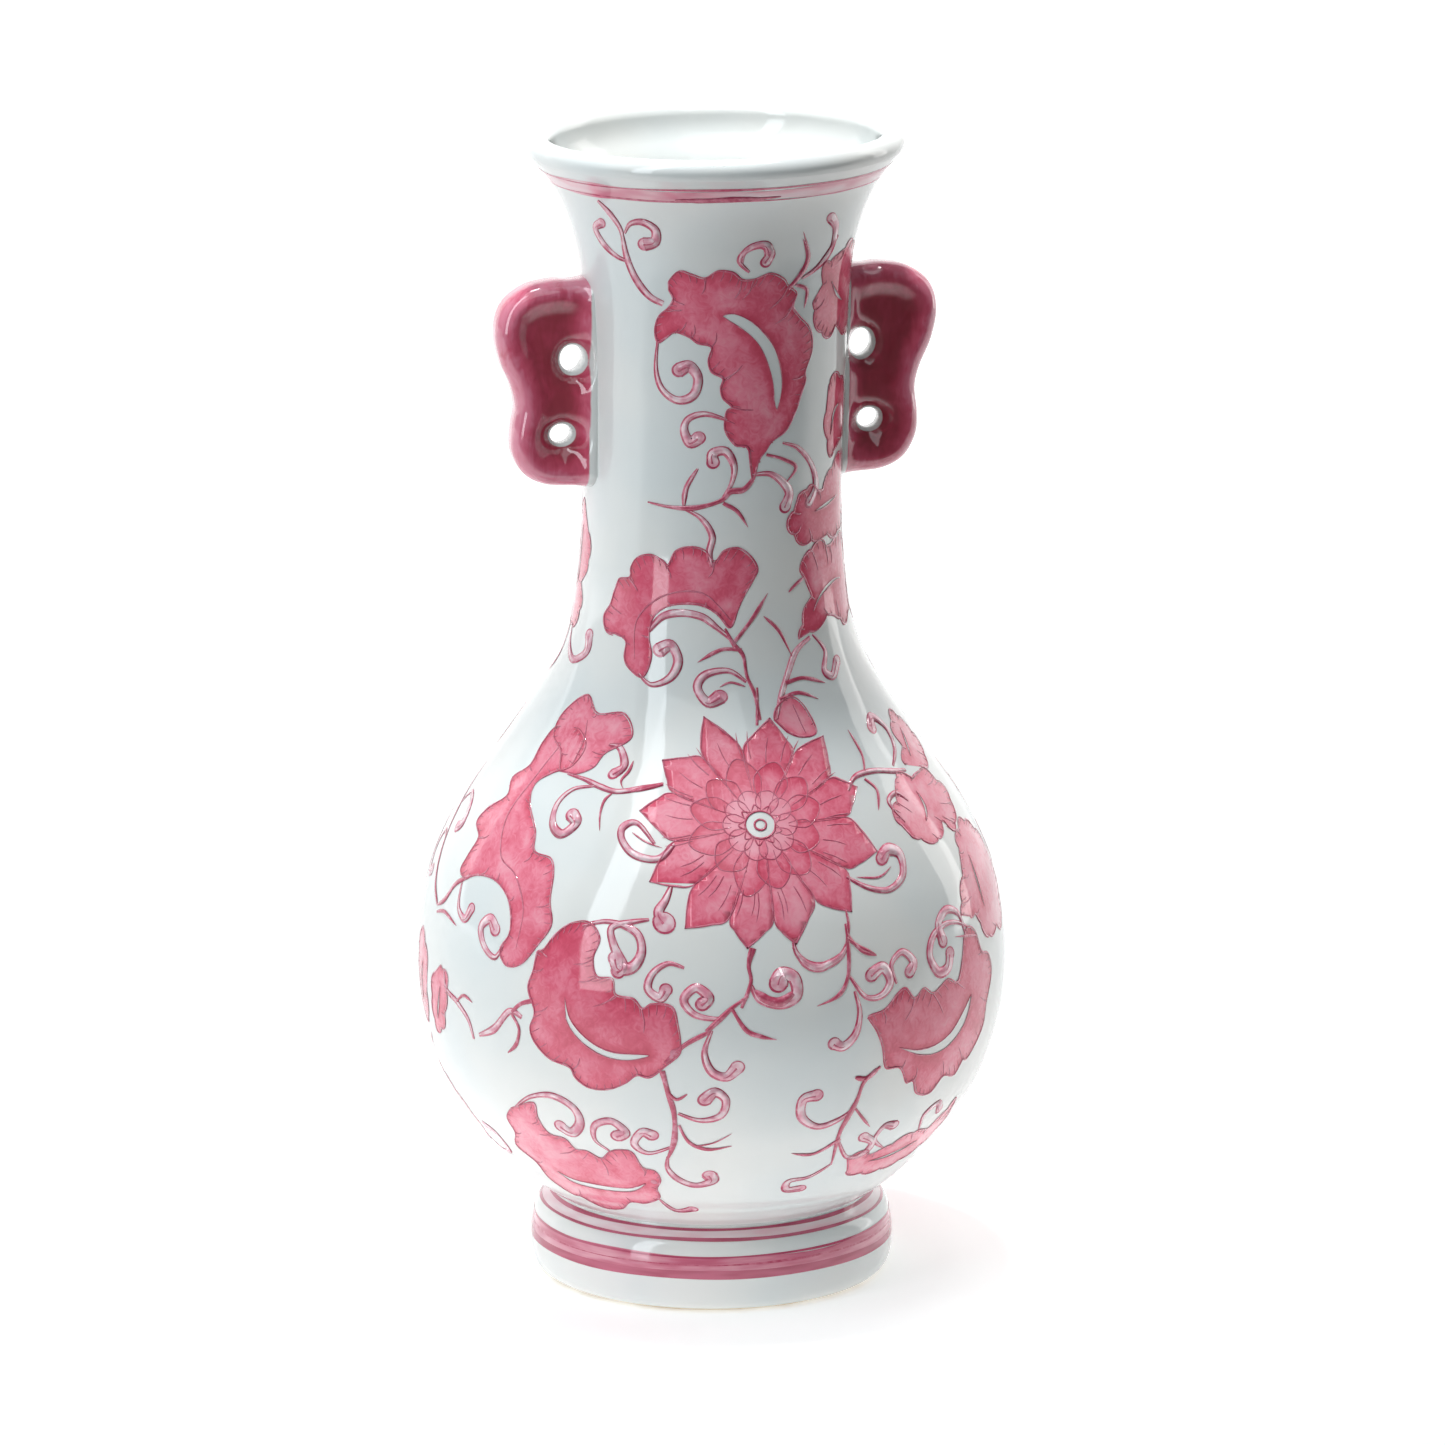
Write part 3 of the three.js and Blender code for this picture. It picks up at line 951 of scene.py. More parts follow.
stroke([(31.1, 0.3), (26.4, -3.3), (24.7, -8.3), (22.6, -13), (20.4, -19), (19.7, -30)], 1.4,
       taper=(0.5, 0.5))
stroke([(23.6, -1.6), (26.9, -2.4), (30, -0.4)], 1.5, taper=(0.4, 0.8))
curl([(23.6, -11), (19.7, -13.8), (14, -15.2), (9.4, -11.6), (9.4, -6.4), (13, -5.4)])
twig([(24.4, -11), (27, -14.6), (29.6, -18)], 0.9)
twig([(21, -20.4), (14, -24.8), (7.8, -23.8)], 1.0)
curl([(20.6, -21.4), (24, -28.2), (29, -28.2), (31.4, -24.2), (28.2, -21.4)], 2.0, 1.3)
curl([(19.8, -30), (14, -34.4), (8.6, -35.4), (8.4, -39.2), (12.4, -39.4)], 1.8, 1.2)

# %% The leaf at lower left
at(-38, 80)
leaf([(-14.7, 19.6), (-12.6, 20.9), (-9.7, 24.8), (-5.4, 28.4), (-0.3, 29.2), (3, 25.4),
      (1.7, 20.3), (3.1, 15.9), (7.4, 15.7), (8.5, 11.8), (13.1, 11), (15.6, 8.7), (18.1, 10),
      (23.1, 9.4), (24.8, 4.6), (25.3, 0.3), (24.9, -2.9), (21.4, -6.1), (17, -9.5),
      (13.6, -9.2), (10.3, -11.8), (5.3, -14), (0.3, -14), (-3.3, -11.7), (-4.7, -8.9),
      (-10.4, -7.4), (-14.7, -3.8), (-16.2, 0), (-14.7, 4.6), (-16.8, 10.3), (-15.4, 15.3)],
     reserve=[(-5.4, 9.9), (-3.6, 4.2), (1.7, -0.8), (8.1, -3.1), (17.4, -3.2), (11.7, -5),
              (4.6, -4.2), (-1.6, -0.4), (-5, 4.4)],
     spine=[(-9, 18), (-5.2, 8), (1.7, -1.5), (9, -3.8), (19, -3.2)], deep=0.6)
curl([(-2, 28.4), (5, 30.2), (12.4, 28.2), (14.6, 23.6), (12.8, 19.4), (9.2, 18.7), (8, 21.2)],
     2.3, 1.5)
ribbon([(-18.6, 2.6), (-22.8, 3.4), (-28.6, -2.4), (-34.8, -5.4)], 2.1, start=0.6)
stroke([(-21.9, 2.8), (-19.6, -0.6), (-20.8, -5), (-24, -8)], 1.1, taper=(0.8, 0.2))
stroke([(-15.4, 7.4), (-19, 6), (-22, 3.4)], 1.2, taper=(0.8, 0.8))

# %% The compound leaf on the left side
at(-62, 115)
leaf([(-6, 42), (-8.6, 36.9), (-9.3, 30.2), (-14.3, 25.4), (-12.6, 20.6), (-18.6, 15.6),
      (-21.4, 11.1), (-17, 7.8), (-18.9, 2), (-20, -1.7), (-16.4, -3), (-10, -0.9),
      (-2.9, -0.8), (2.9, -3.6), (6, -8.1), (6.7, -13.1), (4.3, -17.6), (7.1, -21), (12, -20),
      (16, -15), (19.4, -8.9), (17.4, -3.1), (15.6, 4), (12.9, 8), (6.8, 9), (4.2, 14.4),
      (-2.2, 21.1), (-3.4, 26.1), (0.6, 30), (6, 33), (7, 39), (2, 43)],
     spine=[(-1, 38), (-5, 27), (-8, 16), (-4, 6), (4, 2), (10, -6), (10, -16)], deep=0.45)
leaf([(8, 31), (12.6, 33.6), (14, 38), (19, 43), (14, 49), (6, 48), (0, 52), (-6, 46),
      (-6, 40), (0, 36), (3, 31)],
     spine=[(6, 34), (6, 40), (4, 46)], deep=0.35)
ribbon([(6, 31), (12, 30.4), (17.1, 29.2), (22.9, 28.4), (30, 30.4), (33.6, 31.4)], 1.7)
curl([(15.6, 29), (10, 27.2), (7.4, 22.6), (9, 17.2), (13.2, 15), (15.8, 18.4), (13.4, 20.6)],
     2.0, 1.4)
curl([(14, 40.6), (17.6, 40), (21, 35.6), (19.4, 33)], 1.8, 1.3)
curl([(5.4, -16), (2.9, -19.6), (-1.6, -17.6), (-4, -13.3), (-1, -10.4), (1.6, -12.6)])
curl([(-17, -3.6), (-15.9, -10.3), (-11.8, -12.6), (-9.5, -9.4)], 1.7, 1.0)
stroke([(-29.3, -13.1), (-24.4, -10.4), (-20, -5.3), (-14, -2)], 1.2, taper=(0.3, 0.8))
stroke([(-28.6, -14.6), (-22.9, -13.4), (-15.2, -15.2)], 0.9, taper=(0.8, 0.1))
leaf([(-22, -27.4), (-17.9, -29.4), (-18.6, -36), (-22, -44), (-28, -46), (-29, -38),
      (-27, -30)],
     spine=[(-21, -30), (-24, -38), (-26, -44)], deep=0.4, lobes=True)
ribbon([(-19.6, -27.6), (-18, -32.4), (-12.6, -34.4), (-7.4, -38), (-5.6, -43)], 1.7)
stroke([(-12.6, -34.4), (-9, -32), (-5, -33)], 0.9, taper=(0.8, 0.1))
stroke([(-29, -13), (-35, -8), (-40, 2), (-42, 14), (-40, 24)], 1.3, taper=(0.5, 0.2))
curl([(-40, 2), (-45, 3), (-49, -2), (-47, -8), (-43, -7)], 1.9, 1.3)
curl([(-41, 12), (-36, 16), (-31, 14), (-30, 9), (-33, 7)], 1.9, 1.3)
leaf([(-32, -30), (-36, -24), (-42, -22), (-44, -30), (-42, -42), (-36, -46), (-33, -38)],
     spine=[(-36, -27), (-39, -35), (-38, -43)], deep=0.4, lobes=True)

# %% The leaf above the foot, left
at(-35, 45)
leaf([(-27, 13.6), (-21.4, 15.6), (-21, 11), (-18.4, 6.2), (-13.6, 5.4), (-11.2, 2.2),
      (-7.9, 2), (-4.3, -0.2), (-1.4, 2.8), (1.4, 4), (5, 3.6), (6.6, -1.8), (9.6, -3.2),
      (10, -7), (8.1, -11), (7.6, -15.3), (2.9, -19), (-1.4, -19.4), (-5.7, -24.5),
      (-11.4, -26), (-17, -21.4), (-20, -21.2), (-26, -15.6), (-28, -8), (-33.6, -3),
      (-31.6, 3), (-33, 8), (-30, 12)],
     reserve=[(-20.6, -9.6), (-16, -11.6), (-10.4, -12), (0, -11.8), (5.9, -8.6), (0.4, -13.4),
              (-11.4, -14.2), (-17.6, -12.8)],
     spine=[(-26, 6), (-21, -6), (-12, -13), (0, -13), (6, -9)], deep=0.4)
curl([(-28, 13.2), (-22.1, 17.6), (-15, 19.4), (-9, 16.9), (-7.6, 12.4), (-10.6, 8.4),
      (-13.8, 10)], 2.2, 1.4)
curl([(-1, 3.6), (-4.3, 7), (-3.4, 12), (1.4, 14), (4.6, 11), (2.2, 9.2)], 2.0, 1.2)
curl([(7.4, -15.4), (10.2, -21.6), (15, -20.4)], 1.6, 1.1)
disc(8.4, -7.6, 0.9, DARK)

# %% Leaves and tendrils on the right side
at(45, 118)
ribbon([(-19.6, 23.6), (-15, 26.9), (-8, 27.2), (0, 25.4), (5, 24.6)], 1.8)
twig([(-11, 27.8), (-8.8, 32.4), (-8.9, 39.4)], 0.9)
twig([(-12.5, 25.8), (-10.6, 22), (-13.9, 16.8)], 0.9)
curl([(0.4, 26.8), (5.7, 31.2), (6.8, 36.6), (3, 40.6), (0.4, 38)], 2.0, 1.5)
leaf([(-7.1, 8), (-3.6, 5.6), (2.9, 4.3), (6.6, 6.2), (8.9, 8.2), (13.6, 4.9), (19, 8),
      (22, 14), (18, 19), (14, 23), (10.6, 21.9), (5, 22.4), (-0.4, 24.4), (-4, 20),
      (-8.6, 16), (-10, 11.4)],
     spine=[(4, 21), (4, 14), (0, 9)], deep=0.35, lobes=True)
leaf([(6, 26), (9.3, 30.3), (9.6, 35.3), (14.3, 38.9), (18.6, 37.2), (24, 30), (22, 24),
      (15, 22)],
     spine=[(10, 25), (14, 31), (16, 36)], deep=0.35, lobes=True)
ribbon([(-7, 12), (-9, 18), (-4.5, 20), (-1.4, 17)], 1.5)
leaf([(2.1, -15.4), (4.5, -9.4), (9.6, -3.6), (11.2, 1.9), (15, 4.2), (21, 6), (29, 2),
      (36, -5), (37, -16), (31, -25), (24, -24), (16.6, -24.9), (11.6, -20.8), (9.4, -16.6),
      (6, -17.6)],
     spine=[(16, 1), (15, -9), (17, -20)], deep=0.35, lobes=True)
curl([(4, -18.9), (-1, -16.6), (-6.5, -16), (-12, -18.2), (-14.2, -22.8), (-11.6, -27.4),
      (-7.6, -27), (-6.1, -23.6)], 2.1, 1.5)
curl([(-26.6, -27.6), (-27.6, -22.6), (-23.6, -19.9), (-20.3, -23), (-22, -25.4)], 1.9, 1.2)
stroke([(8, -22), (3, -21), (-3, -20)], 0.6, taper=(0.8, 0.1))

# %% The leaf at lower right, and the one half hidden below it
at(42, 78)
leaf([(-32.1, 6), (-27.1, 7.2), (-22.9, 10.6), (-20, 11.6), (-17.1, 8.6), (-13.6, 10.6),
      (-10, 8.6), (-4.3, 11), (0, 9.4), (2.9, 14.6), (5, 19.9), (7.9, 22), (11.4, 19.9),
      (13.6, 14.4), (17.9, 12.6), (19.9, 7.4), (17, 0.3), (15.9, -6.9), (10, -13.6),
      (7, -13.6), (4.3, -17.2), (-1.4, -16.1), (-5.7, -20.1), (-11.4, -18.6), (-14, -14.6),
      (-16.6, -14.4), (-20, -9.6), (-25, -8.6), (-27.1, -2.6), (-29.5, 2.4)],
     reserve=[(-21.4, -3.6), (-14.6, -5.4), (-8, -5.4), (-2, -3.4), (3.2, 1.2), (7.1, 4.6),
              (4.6, -1.9), (-1.4, -6.6), (-7.9, -7.9), (-15, -6.6)],
     spine=[(-26, 0), (-15, -6), (-6, -6), (2, -1), (8, 6), (9, 14)], deep=0.55)
curl([(6, 21), (4.4, 26.4), (-0.6, 28.6), (-5, 25.8), (-4.4, 21.2)], 2.1, 1.5)
leaf([(-25, -37), (-20, -35.6), (-16, -37.4), (-10, -34.6), (-4, -33), (2, -34), (8, -30),
      (12, -27), (13, -34), (6, -42), (-4, -46), (-14, -46), (-22, -43)],
     spine=[(-20, -40), (-8, -40), (6, -36)], deep=0.3, lobes=True)
curl([(-14, -35.6), (-19.4, -31.4), (-18.6, -27), (-14.8, -27.6)], 1.7, 1.1)
curl([(-2, -32.6), (-3.6, -27), (1, -24.6), (3.6, -27.4)], 1.7, 1.1)

# %% [markdown]
# ### Leaves and tendrils of the neck

# %% The great leaf on the neck
at(10, 235)
leaf([(-26.3, 32), (-23.6, 34.9), (-20, 34), (-16.9, 33.2), (-13.8, 35), (-10, 34.4),
      (-7.5, 32.5), (-4.4, 32.4), (0, 33.6), (3.8, 31.8), (5.3, 29.8), (7.8, 27.6),
      (6.8, 24.3), (9, 21.4), (12.2, 18.3), (13.5, 15.1), (13.4, 11.4), (11.4, 7), (11.5, 4.5),
      (10, 0.8), (8.4, -3.2), (5.6, -7.6), (1.9, -9.9), (0, -12.4), (-1.9, -14.9),
      (-3.1, -19.6), (-4, -15.5), (-4.8, -11.1), (-8.1, -10.1), (-10.8, -6.1), (-10.6, -1.6),
      (-9.2, -0.3), (-11.5, 2), (-12.2, 4.5), (-11.7, 7.1), (-14.6, 8.9), (-15.5, 12),
      (-14.8, 15.3), (-18.1, 16.2), (-20.6, 17.9), (-24, 18.9), (-26.5, 17.4), (-28.8, 16.1),
      (-29.6, 19.5), (-28.6, 22.8), (-26.1, 25.1), (-24.9, 27.6), (-26.1, 30.1)],
     reserve=[(-11.9, 23.3), (-8.9, 23.9), (-4.4, 21.6), (-0.6, 17.9), (2, 14), (3.7, 9),
              (4.3, 4.2), (3.2, -1.4), (2.2, 0.4), (1.4, 6.4), (-1, 12.9), (-3.8, 17.2),
              (-7.9, 20.6)],
     spine=[(-18, 25), (-9, 22), (-2, 15), (2.6, 6), (2, -4), (-1.6, -13)], deep=0.58)
curl([(-28.6, 17), (-29, 9.5), (-27.2, 4.3), (-23, 1.6), (-18.9, 3), (-17.8, 7.4), (-20, 10.4),
      (-22.8, 9.4)], 2.1, 1.3)
curl([(-10.2, -3.4), (-15.6, -1.8), (-19.8, -3), (-21, -6), (-19.4, -9.2), (-17.2, -8)],
     2.0, 1.2)
curl([(-11, -24), (-8.6, -20), (-8, -15.5), (-10.2, -11.6), (-13.4, -12), (-13.4, -14.4)],
     1.9, 1.2)
stroke([(-3.1, -19.2), (-5.4, -21.6), (-8.8, -22), (-11.3, -24.3), (-17.5, -26.1),
        (-24, -26.2), (-30.4, -25.4)], 1.4, taper=(0.9, 0.2))
ribbon([(-17.2, -16), (-20, -21), (-20.6, -25.6)], 1.5)
ribbon([(-20.6, -26.4), (-16, -28.9), (-13.3, -33.3), (-14, -37.6), (-13.4, -41.4)], 1.9)
twig([(-10.6, -24.9), (-6.9, -27.2), (-4.1, -31.4)], 1.0)
curl([(-3.4, -18), (1.3, -18), (5, -20.3), (7.4, -23.6), (6.3, -27)], 2.0, 1.4)
stroke([(0.4, -13), (5, -14.5), (9.4, -17.2), (6.6, -20.6)], 1.0, taper=(0.9, 0.3))
curl([(5, -10.4), (10, -12.4), (14.9, -17.4), (16.9, -23), (14.4, -27)], 1.7, 1.3)
leaf([(10.6, -25.3), (14.4, -23), (18.6, -25), (24, -20), (31, -17), (37, -20), (38, -30),
      (34, -36), (27, -38), (20, -37), (15, -37.8), (10.6, -36.8), (7.3, -33), (8.1, -28.6)],
     spine=[(14, -30), (22, -29), (32, -27)], deep=0.6, lobes=True)
stroke([(8.6, 42.4), (11, 37), (8.8, 32.6), (5.4, 29.3)], 1.3, taper=(0.2, 0.8))
ribbon([(9.4, 31.4), (14, 33.4), (18.6, 37.4), (21.9, 41.4)], 1.5)
stroke([(7.5, 30.1), (11.3, 28.3), (10.6, 23.6)], 1.0, taper=(0.8, 0.1))
leaf([(13.8, 24.5), (14.2, 20.1), (16.3, 16.2), (20, 14.6), (25, 16.2), (31, 13), (37, 17),
      (38, 27), (36, 36), (30, 38), (23.8, 35.3), (17.6, 34.1), (16.4, 29)],
     spine=[(20, 31), (24, 25), (30, 22)], deep=0.6, lobes=True)
curl([(-5.6, 34.6), (-8.5, 38), (-6, 41.4), (-2, 41.8), (-0.6, 39)], 1.7, 1.2)
leaf([(21, 2), (26, 4), (33, 0), (37, -6), (35, -13), (29, -14), (24, -17), (21, -12),
      (19.6, -5)],
     spine=[(23, -14), (25, -6), (30, -3)], deep=0.6, lobes=True)

# %% The fan shaped leaf where neck meets belly
at(0, 183)
leaf([(-34, 5.3), (-30.3, 6.3), (-29.8, 9), (-27.8, 11.7), (-24, 12.8), (-20.6, 11.6),
      (-19, 10.6), (-17.1, 14.2), (-13.4, 15.5), (-9.6, 14.8), (-7.1, 12), (-4.6, 14.6),
      (-0.9, 15.1), (2.3, 12.8), (4, 9.6), (2.9, 7), (0.4, 2.8), (-1.5, -1), (-2.8, -4.3),
      (-4, -4.8), (-6.5, -1.6), (-10.3, 0.6), (-15.3, 0.9), (-19.6, -0.1), (-23.4, -3.1),
      (-24.8, -8), (-24.4, -13), (-27, -18.4), (-30.6, -17), (-32.4, -14.4), (-31.8, -10),
      (-34.6, -8.6), (-38.4, -8.6), (-39.6, -5), (-37, -1.4), (-35.6, 2)],
     spine=[(-3, -3), (-10, 4), (-20, 3), (-28, -4), (-29, -14)], deep=0.55)
ribbon([(-3, -8), (-6.6, -4.8), (-10.4, -2), (-15.6, -1.2), (-20.6, -2.4), (-24.6, -6.4)], 2.2)
curl([(-28, -17.6), (-24.6, -20), (-19.4, -17.8), (-17, -13.5), (-18.6, -9.6), (-21.8, -11)])
stroke([(-4.6, -5), (-2.6, -9), (-0.3, -12), (0.3, -17.3), (1.9, -22.3), (2.4, -29)], 1.05,
       taper=(0.5, 0.9))
twig([(-0.6, -10.6), (-5.9, -10.4), (-12, -13.6)], 1.0)
twig([(-2.4, -8.6), (2.4, -3), (6.9, 3.4)], 1.0)
curl([(0, -18.8), (-4.2, -15.8), (-10, -16.6), (-12.6, -20), (-10.4, -23.9), (-7, -22.4)],
     2.1, 1.5)
stroke([(-0.4, -20), (-4, -18.8), (-7, -20)], 0.6)
stroke([(5.6, -2.4), (9.8, -6.6), (13.2, -13.4)], 0.8, taper=(0.2, 0.4))
ribbon([(7, -29), (8.6, -24), (11, -18.6), (14.5, -12.3), (19.4, -9.4)], 2.0)
twig([(10.6, -20), (16, -19.3), (23, -21.6)], 1.0)
twig([(8.4, -24), (14, -22.9), (20, -25.4)], 0.9)
curl([(20.4, -8.8), (24.6, -13.6), (23.4, -18.4), (26.4, -20.3), (29, -17)], 1.8, 1.2)
stroke([(13, 3), (15.6, 4.8), (18.4, 6.2)], 1.0)
leaf([(16, -9.3), (17.5, -3.5), (20, 0.9), (18.9, 5.3), (16.5, 7.3), (18.3, 10.5), (21, 13),
      (25.4, 13.9), (30, 12), (36, 14), (43, 11), (46, 2), (43, -6), (36, -9), (30, -5.5),
      (25.4, -6.3), (20, -8.9)],
     spine=[(18.6, -7), (24, 0), (32, 3), (40, 2)], deep=0.55, lobes=True)

# %% Under the mouth
at(-10, 270)
ribbon([(-15.3, -8.7), (-19.4, -6.8), (-23.4, -2.4), (-26, 3), (-27.2, 9)], 2.3, start=0.7)
curl([(-24.4, 1.6), (-29, 2.6), (-34, 5.6), (-37, 9.6), (-34.4, 11.6)], 1.8, 1.2)
ribbon([(-27, 5), (-27.6, 10.3), (-31, 15), (-35, 18.8)], 1.8)
curl([(-26.4, 9.6), (-24.6, 12.6), (-21, 13.4), (-17.6, 11.4), (-17.6, 8), (-20.6, 7)])
curl([(4.8, 1.4), (5.6, 5), (9.6, 6.6), (12.4, 4.6), (11, 1.9)], 1.6, 1.2)
stroke([(18.6, -5), (22.6, -1), (23.4, 3.4), (21.6, 9.4)], 1.2, taper=(0.8, 0.1))
curl([(22, -3.4), (28.5, -0.5), (32.6, 3.6), (33.2, 9), (31, 12)], 2.0, 1.5)

# %% A leaf and a tendril between front and back
at(-91, 190)
leaf([(0, 15), (-6, 12), (-9, 5), (-8, -4), (-12, -10), (-8, -16), (0, -18), (4, -12), (2, -6),
      (6, 0), (5, 8)],
     spine=[(-1, 12), (-2, 2), (-4, -12)], deep=0.5, lobes=True)
curl([(-1, -17), (2, -22), (8, -25), (13, -22), (12, -17.6)], 2.0, 1.4)
stroke([(-4, -18), (-4, -26), (-8, -32)], 1.1, taper=(0.8, 0.2))
at(-95, 46)
leaf([(-15, 7), (-9, 12), (0, 12), (9, 9), (15, 2), (13, -7), (4, -10), (-6, -8), (-13, -2)],
     spine=[(-12, 5), (-3, 3), (6, -1), (12, -5)], deep=0.4, lobes=True)
curl([(-12, 9), (-16, 15), (-13, 21), (-7, 21), (-6.4, 16.4)], 2.0, 1.4)
curl([(13, -6), (18, -10), (24, -8), (25, -2), (21, -1)], 2.0, 1.4)
stroke([(0, 12), (2, 18), (7, 23)], 0.9, taper=(0.8, 0.1))
stroke([(-13, -2), (-20, -4), (-26, 0)], 0.9, taper=(0.8, 0.1))

# %% A heavier touch on the ring under the lip
at(-8, 289.6)
stroke([(-14, 0), (-7, -0.2), (0, 0.1), (7, 0), (13, 0.2)], 1.7, MIDDLE, (0.2, 0.2),
       uneven=0.3)
print(len(washes), "washes and", len(strokes), "brush lines on one side")

# %% [markdown]
# ### Laying the drawing on the wall
#
# Now each flat film is cut to a grid of small faces, so that it can bend, and every point
# is moved to its place on the wall. The front is used again, half a turn on, for the back.
# Two numbers are kept at each point of a wash for its colour: how far it is from the edge
# of the wash, where the pigment gathers, and how deep the painter made this leaf.

# %% Wash films
def joined(meshes, name):
    """One mesh object out of many small meshes, keeping their point attributes."""
    bm = bmesh.new()
    for mesh in meshes:
        bm.from_mesh(mesh)
        bpy.data.meshes.remove(mesh)
    return mesh_from(bm, name)


def laid_flat(mesh, anchor, lift, upper):
    """Give a flat film its two heights, and keep where on the vase it belongs."""
    points = coordinates(mesh)
    points[:, 2] = np.where(upper, lift, lift - FILM)
    set_coordinates(mesh, points)
    keep(mesh, "turn", anchor[0])
    keep(mesh, "start", anchor[1])
    return mesh


def wash_film(anchor, lift, outline, holes, deep, cell=2.4):
    """A filled flat outline, cut to cells and given thickness, still flat."""
    mesh = shown_mesh(flat_curve("wash", [outline] + holes))
    bm = bmesh_of(mesh)
    for axis, normal in ((0, (1, 0, 0)), (1, (0, 1, 0))):
        low, high = outline[:, axis].min(), outline[:, axis].max()
        for place in np.arange(low + cell, high, cell):
            spot = [0, 0, 0]
            spot[axis] = place
            bmesh.ops.bisect_plane(bm, geom=bm.verts[:] + bm.edges[:] + bm.faces[:],
                                   plane_co=spot, plane_no=normal)
    bmesh.ops.triangulate(bm, faces=[f for f in bm.faces if len(f.verts) > 4])
    bmesh.ops.solidify(bm, geom=bm.faces[:], thickness=-1)
    bmesh.ops.recalc_face_normals(bm, faces=bm.faces)
    points = coordinates(back_to(mesh, bm))
    keep(mesh, "edge", gather(points[:, :2], np.concatenate([outline] + holes)))
    keep(mesh, "deep", deep)
    return laid_flat(mesh, anchor, lift, points[:, 2] > points[:, 2].mean())


def wrap(piece, half_turn):
    """Bend a flat film onto the wall. Its points hold right, up and lift in millimetres."""
    mesh = piece.data
    points = coordinates(mesh)
    along = kept(mesh, "start") + points[:, 1]
    angle = (kept(mesh, "turn") + points[:, 0] / np.interp(along, ARC, line[:, 0])
             + math.pi * half_turn)
    moved, normals = on_wall(angle, along, points[:, 2])
    set_coordinates(mesh, moved)
    for polygon in mesh.polygons:
        polygon.use_smooth = True
    face_as_wall(mesh, normals)


def both_sides(meshes, name, material):
    """Wrap the same flat films on the front and on the back, as one finished piece."""
    front = joined(meshes, name)
    back = put(name + "_back", front.data.copy())
    for piece, half_turn in ((front, 0), (back, 1)):
        wrap(piece, half_turn)
        for key in ("turn", "start"):
            piece.data.attributes.remove(piece.data.attributes[key])
        finish_piece(piece, [material])


# %% Brush line films
def flat_section():
    """The section that every brush line is drawn with: flat, one wide and very thin."""
    data = bpy.data.curves.new("brush_section", "CURVE")
    data.dimensions = "2D"
    add_loop(data, [(-0.5, -0.02), (0.5, -0.02), (0.5, 0.02), (-0.5, 0.02)])
    return put("brush_section", data)


section = flat_section()
THINNEST = 0.06                            # a brush line never gets narrower, in mm


def line_films(layers):
    """The brush lines of these layers, as flat films, one mesh for each anchor and layer."""
    groups = {}
    for anchor, lift, path, radius, closed in strokes:
        if lift in layers:
            groups.setdefault((anchor, lift), []).append((path, radius, closed))
    films = []
    for (anchor, lift), lines in groups.items():
        data = bpy.data.curves.new("lines", "CURVE")
        data.dimensions = "3D"
        data.twist_mode = "Z_UP"
        data.bevel_mode, data.bevel_object = "OBJECT", section
        data.use_fill_caps = True
        for path, radius, closed in lines:
            spline = add_loop(data, path, closed)
            spline.points.foreach_set("radius", np.maximum(radius, THINNEST))
        mesh = shown_mesh(data)
        films.append(laid_flat(mesh, anchor, lift, coordinates(mesh)[:, 2] > 0))
    return films


# %% [markdown]
# ### Colours of the brushwork
#
# Underglaze pink is never even. It is stronger where the brush started and where the
# colour gathered at an edge, and weaker where the brush ran dry. The paint lies under the
# glaze, so it has exactly the gloss and the ripples of the white around it.

# %% Painted colour under the glaze
def painted(name, blotch, low, high, *colours, squeeze=(1, 1, 1)):
    """Paint under the glaze. A noise of this size, detail and roughness moves its colour."""
    material, tree, output, in_mm = new_material(name)
    uneven = noise(tree, stretched(tree, in_mm, squeeze), *blotch)
    glazed(tree, output, in_mm, ramp(tree, uneven, low, high, *colours))
    return material


# washes: clouds and streaks of pigment, deeper on some leaves, pooled along each edge
wash_pink, tree, output, in_mm = new_material("pink_wash_under_glaze")
cloud = noise(tree, in_mm, 9, 2.0, 0.5, 0.5)
streak = noise(tree, in_mm, 2.6, 2.0, 0.5, 2.2)
depth = maths(tree, "MULTIPLY_ADD", cloud, 1.0, attribute(tree, "deep"))
depth = maths(tree, "MULTIPLY_ADD", streak, 0.5, depth)
pooled = spread(tree, attribute(tree, "edge"), 0.2, 2.6, 0.20, -0.06)
depth = maths(tree, "ADD", depth, pooled)
glazed(tree, output, in_mm, ramp(tree, depth, 0.7, 1.75, (0, "F9ACBC"), (0.35, "F3889E"),
                                 (0.7, "E66680"), (1, "D44D67")))

# outlines: the fullest brush, breaking up where it runs dry
line_pink = painted("crimson_line_under_glaze", (2.2, 3.0, 0.6), 0.3, 0.72,
                    (0, "B84461"), (0.6, "CA5B76"), (1, "DD8FA3"))
# tendrils: thin wet paint, nearly white in places
pale_pink = painted("pale_pink_under_glaze", (3.0, 2.0, 0.5), 0.32, 0.68,
                    (0, "F4DAE0"), (0.5, "ECB8C5"), (1, "DF8DA2"))
# veins and hatching: a fine brush, lighter than the outlines
soft_pink = painted("middle_pink_under_glaze", (2.2, 3.0, 0.6), 0.3, 0.72,
                    (0, "BE4F6B"), (1, "DA7F96"))

# %% Make the painted pieces
below_lines = {w[1] for w in washes if w[1] < SHADOW}      # leaves, and the stacked petals
for name, material, line_layers, wash_layers in (
        ("painted_washes", wash_pink, (), below_lines),
        ("painted_tendril_edges", line_pink, (SHADOW,), (SHADOW, DARK)),
        ("painted_tendrils", pale_pink, (LIGHT,), (LIGHT,)),
        ("painted_veins", soft_pink, (MIDDLE,), ()),
        ("painted_lines", line_pink, (DARK, DARK + 0.02), ())):
    films = line_films(line_layers) + [wash_film(*w) for w in washes if w[1] in wash_layers]
    both_sides(films, name, material)
bpy.data.objects.remove(section)

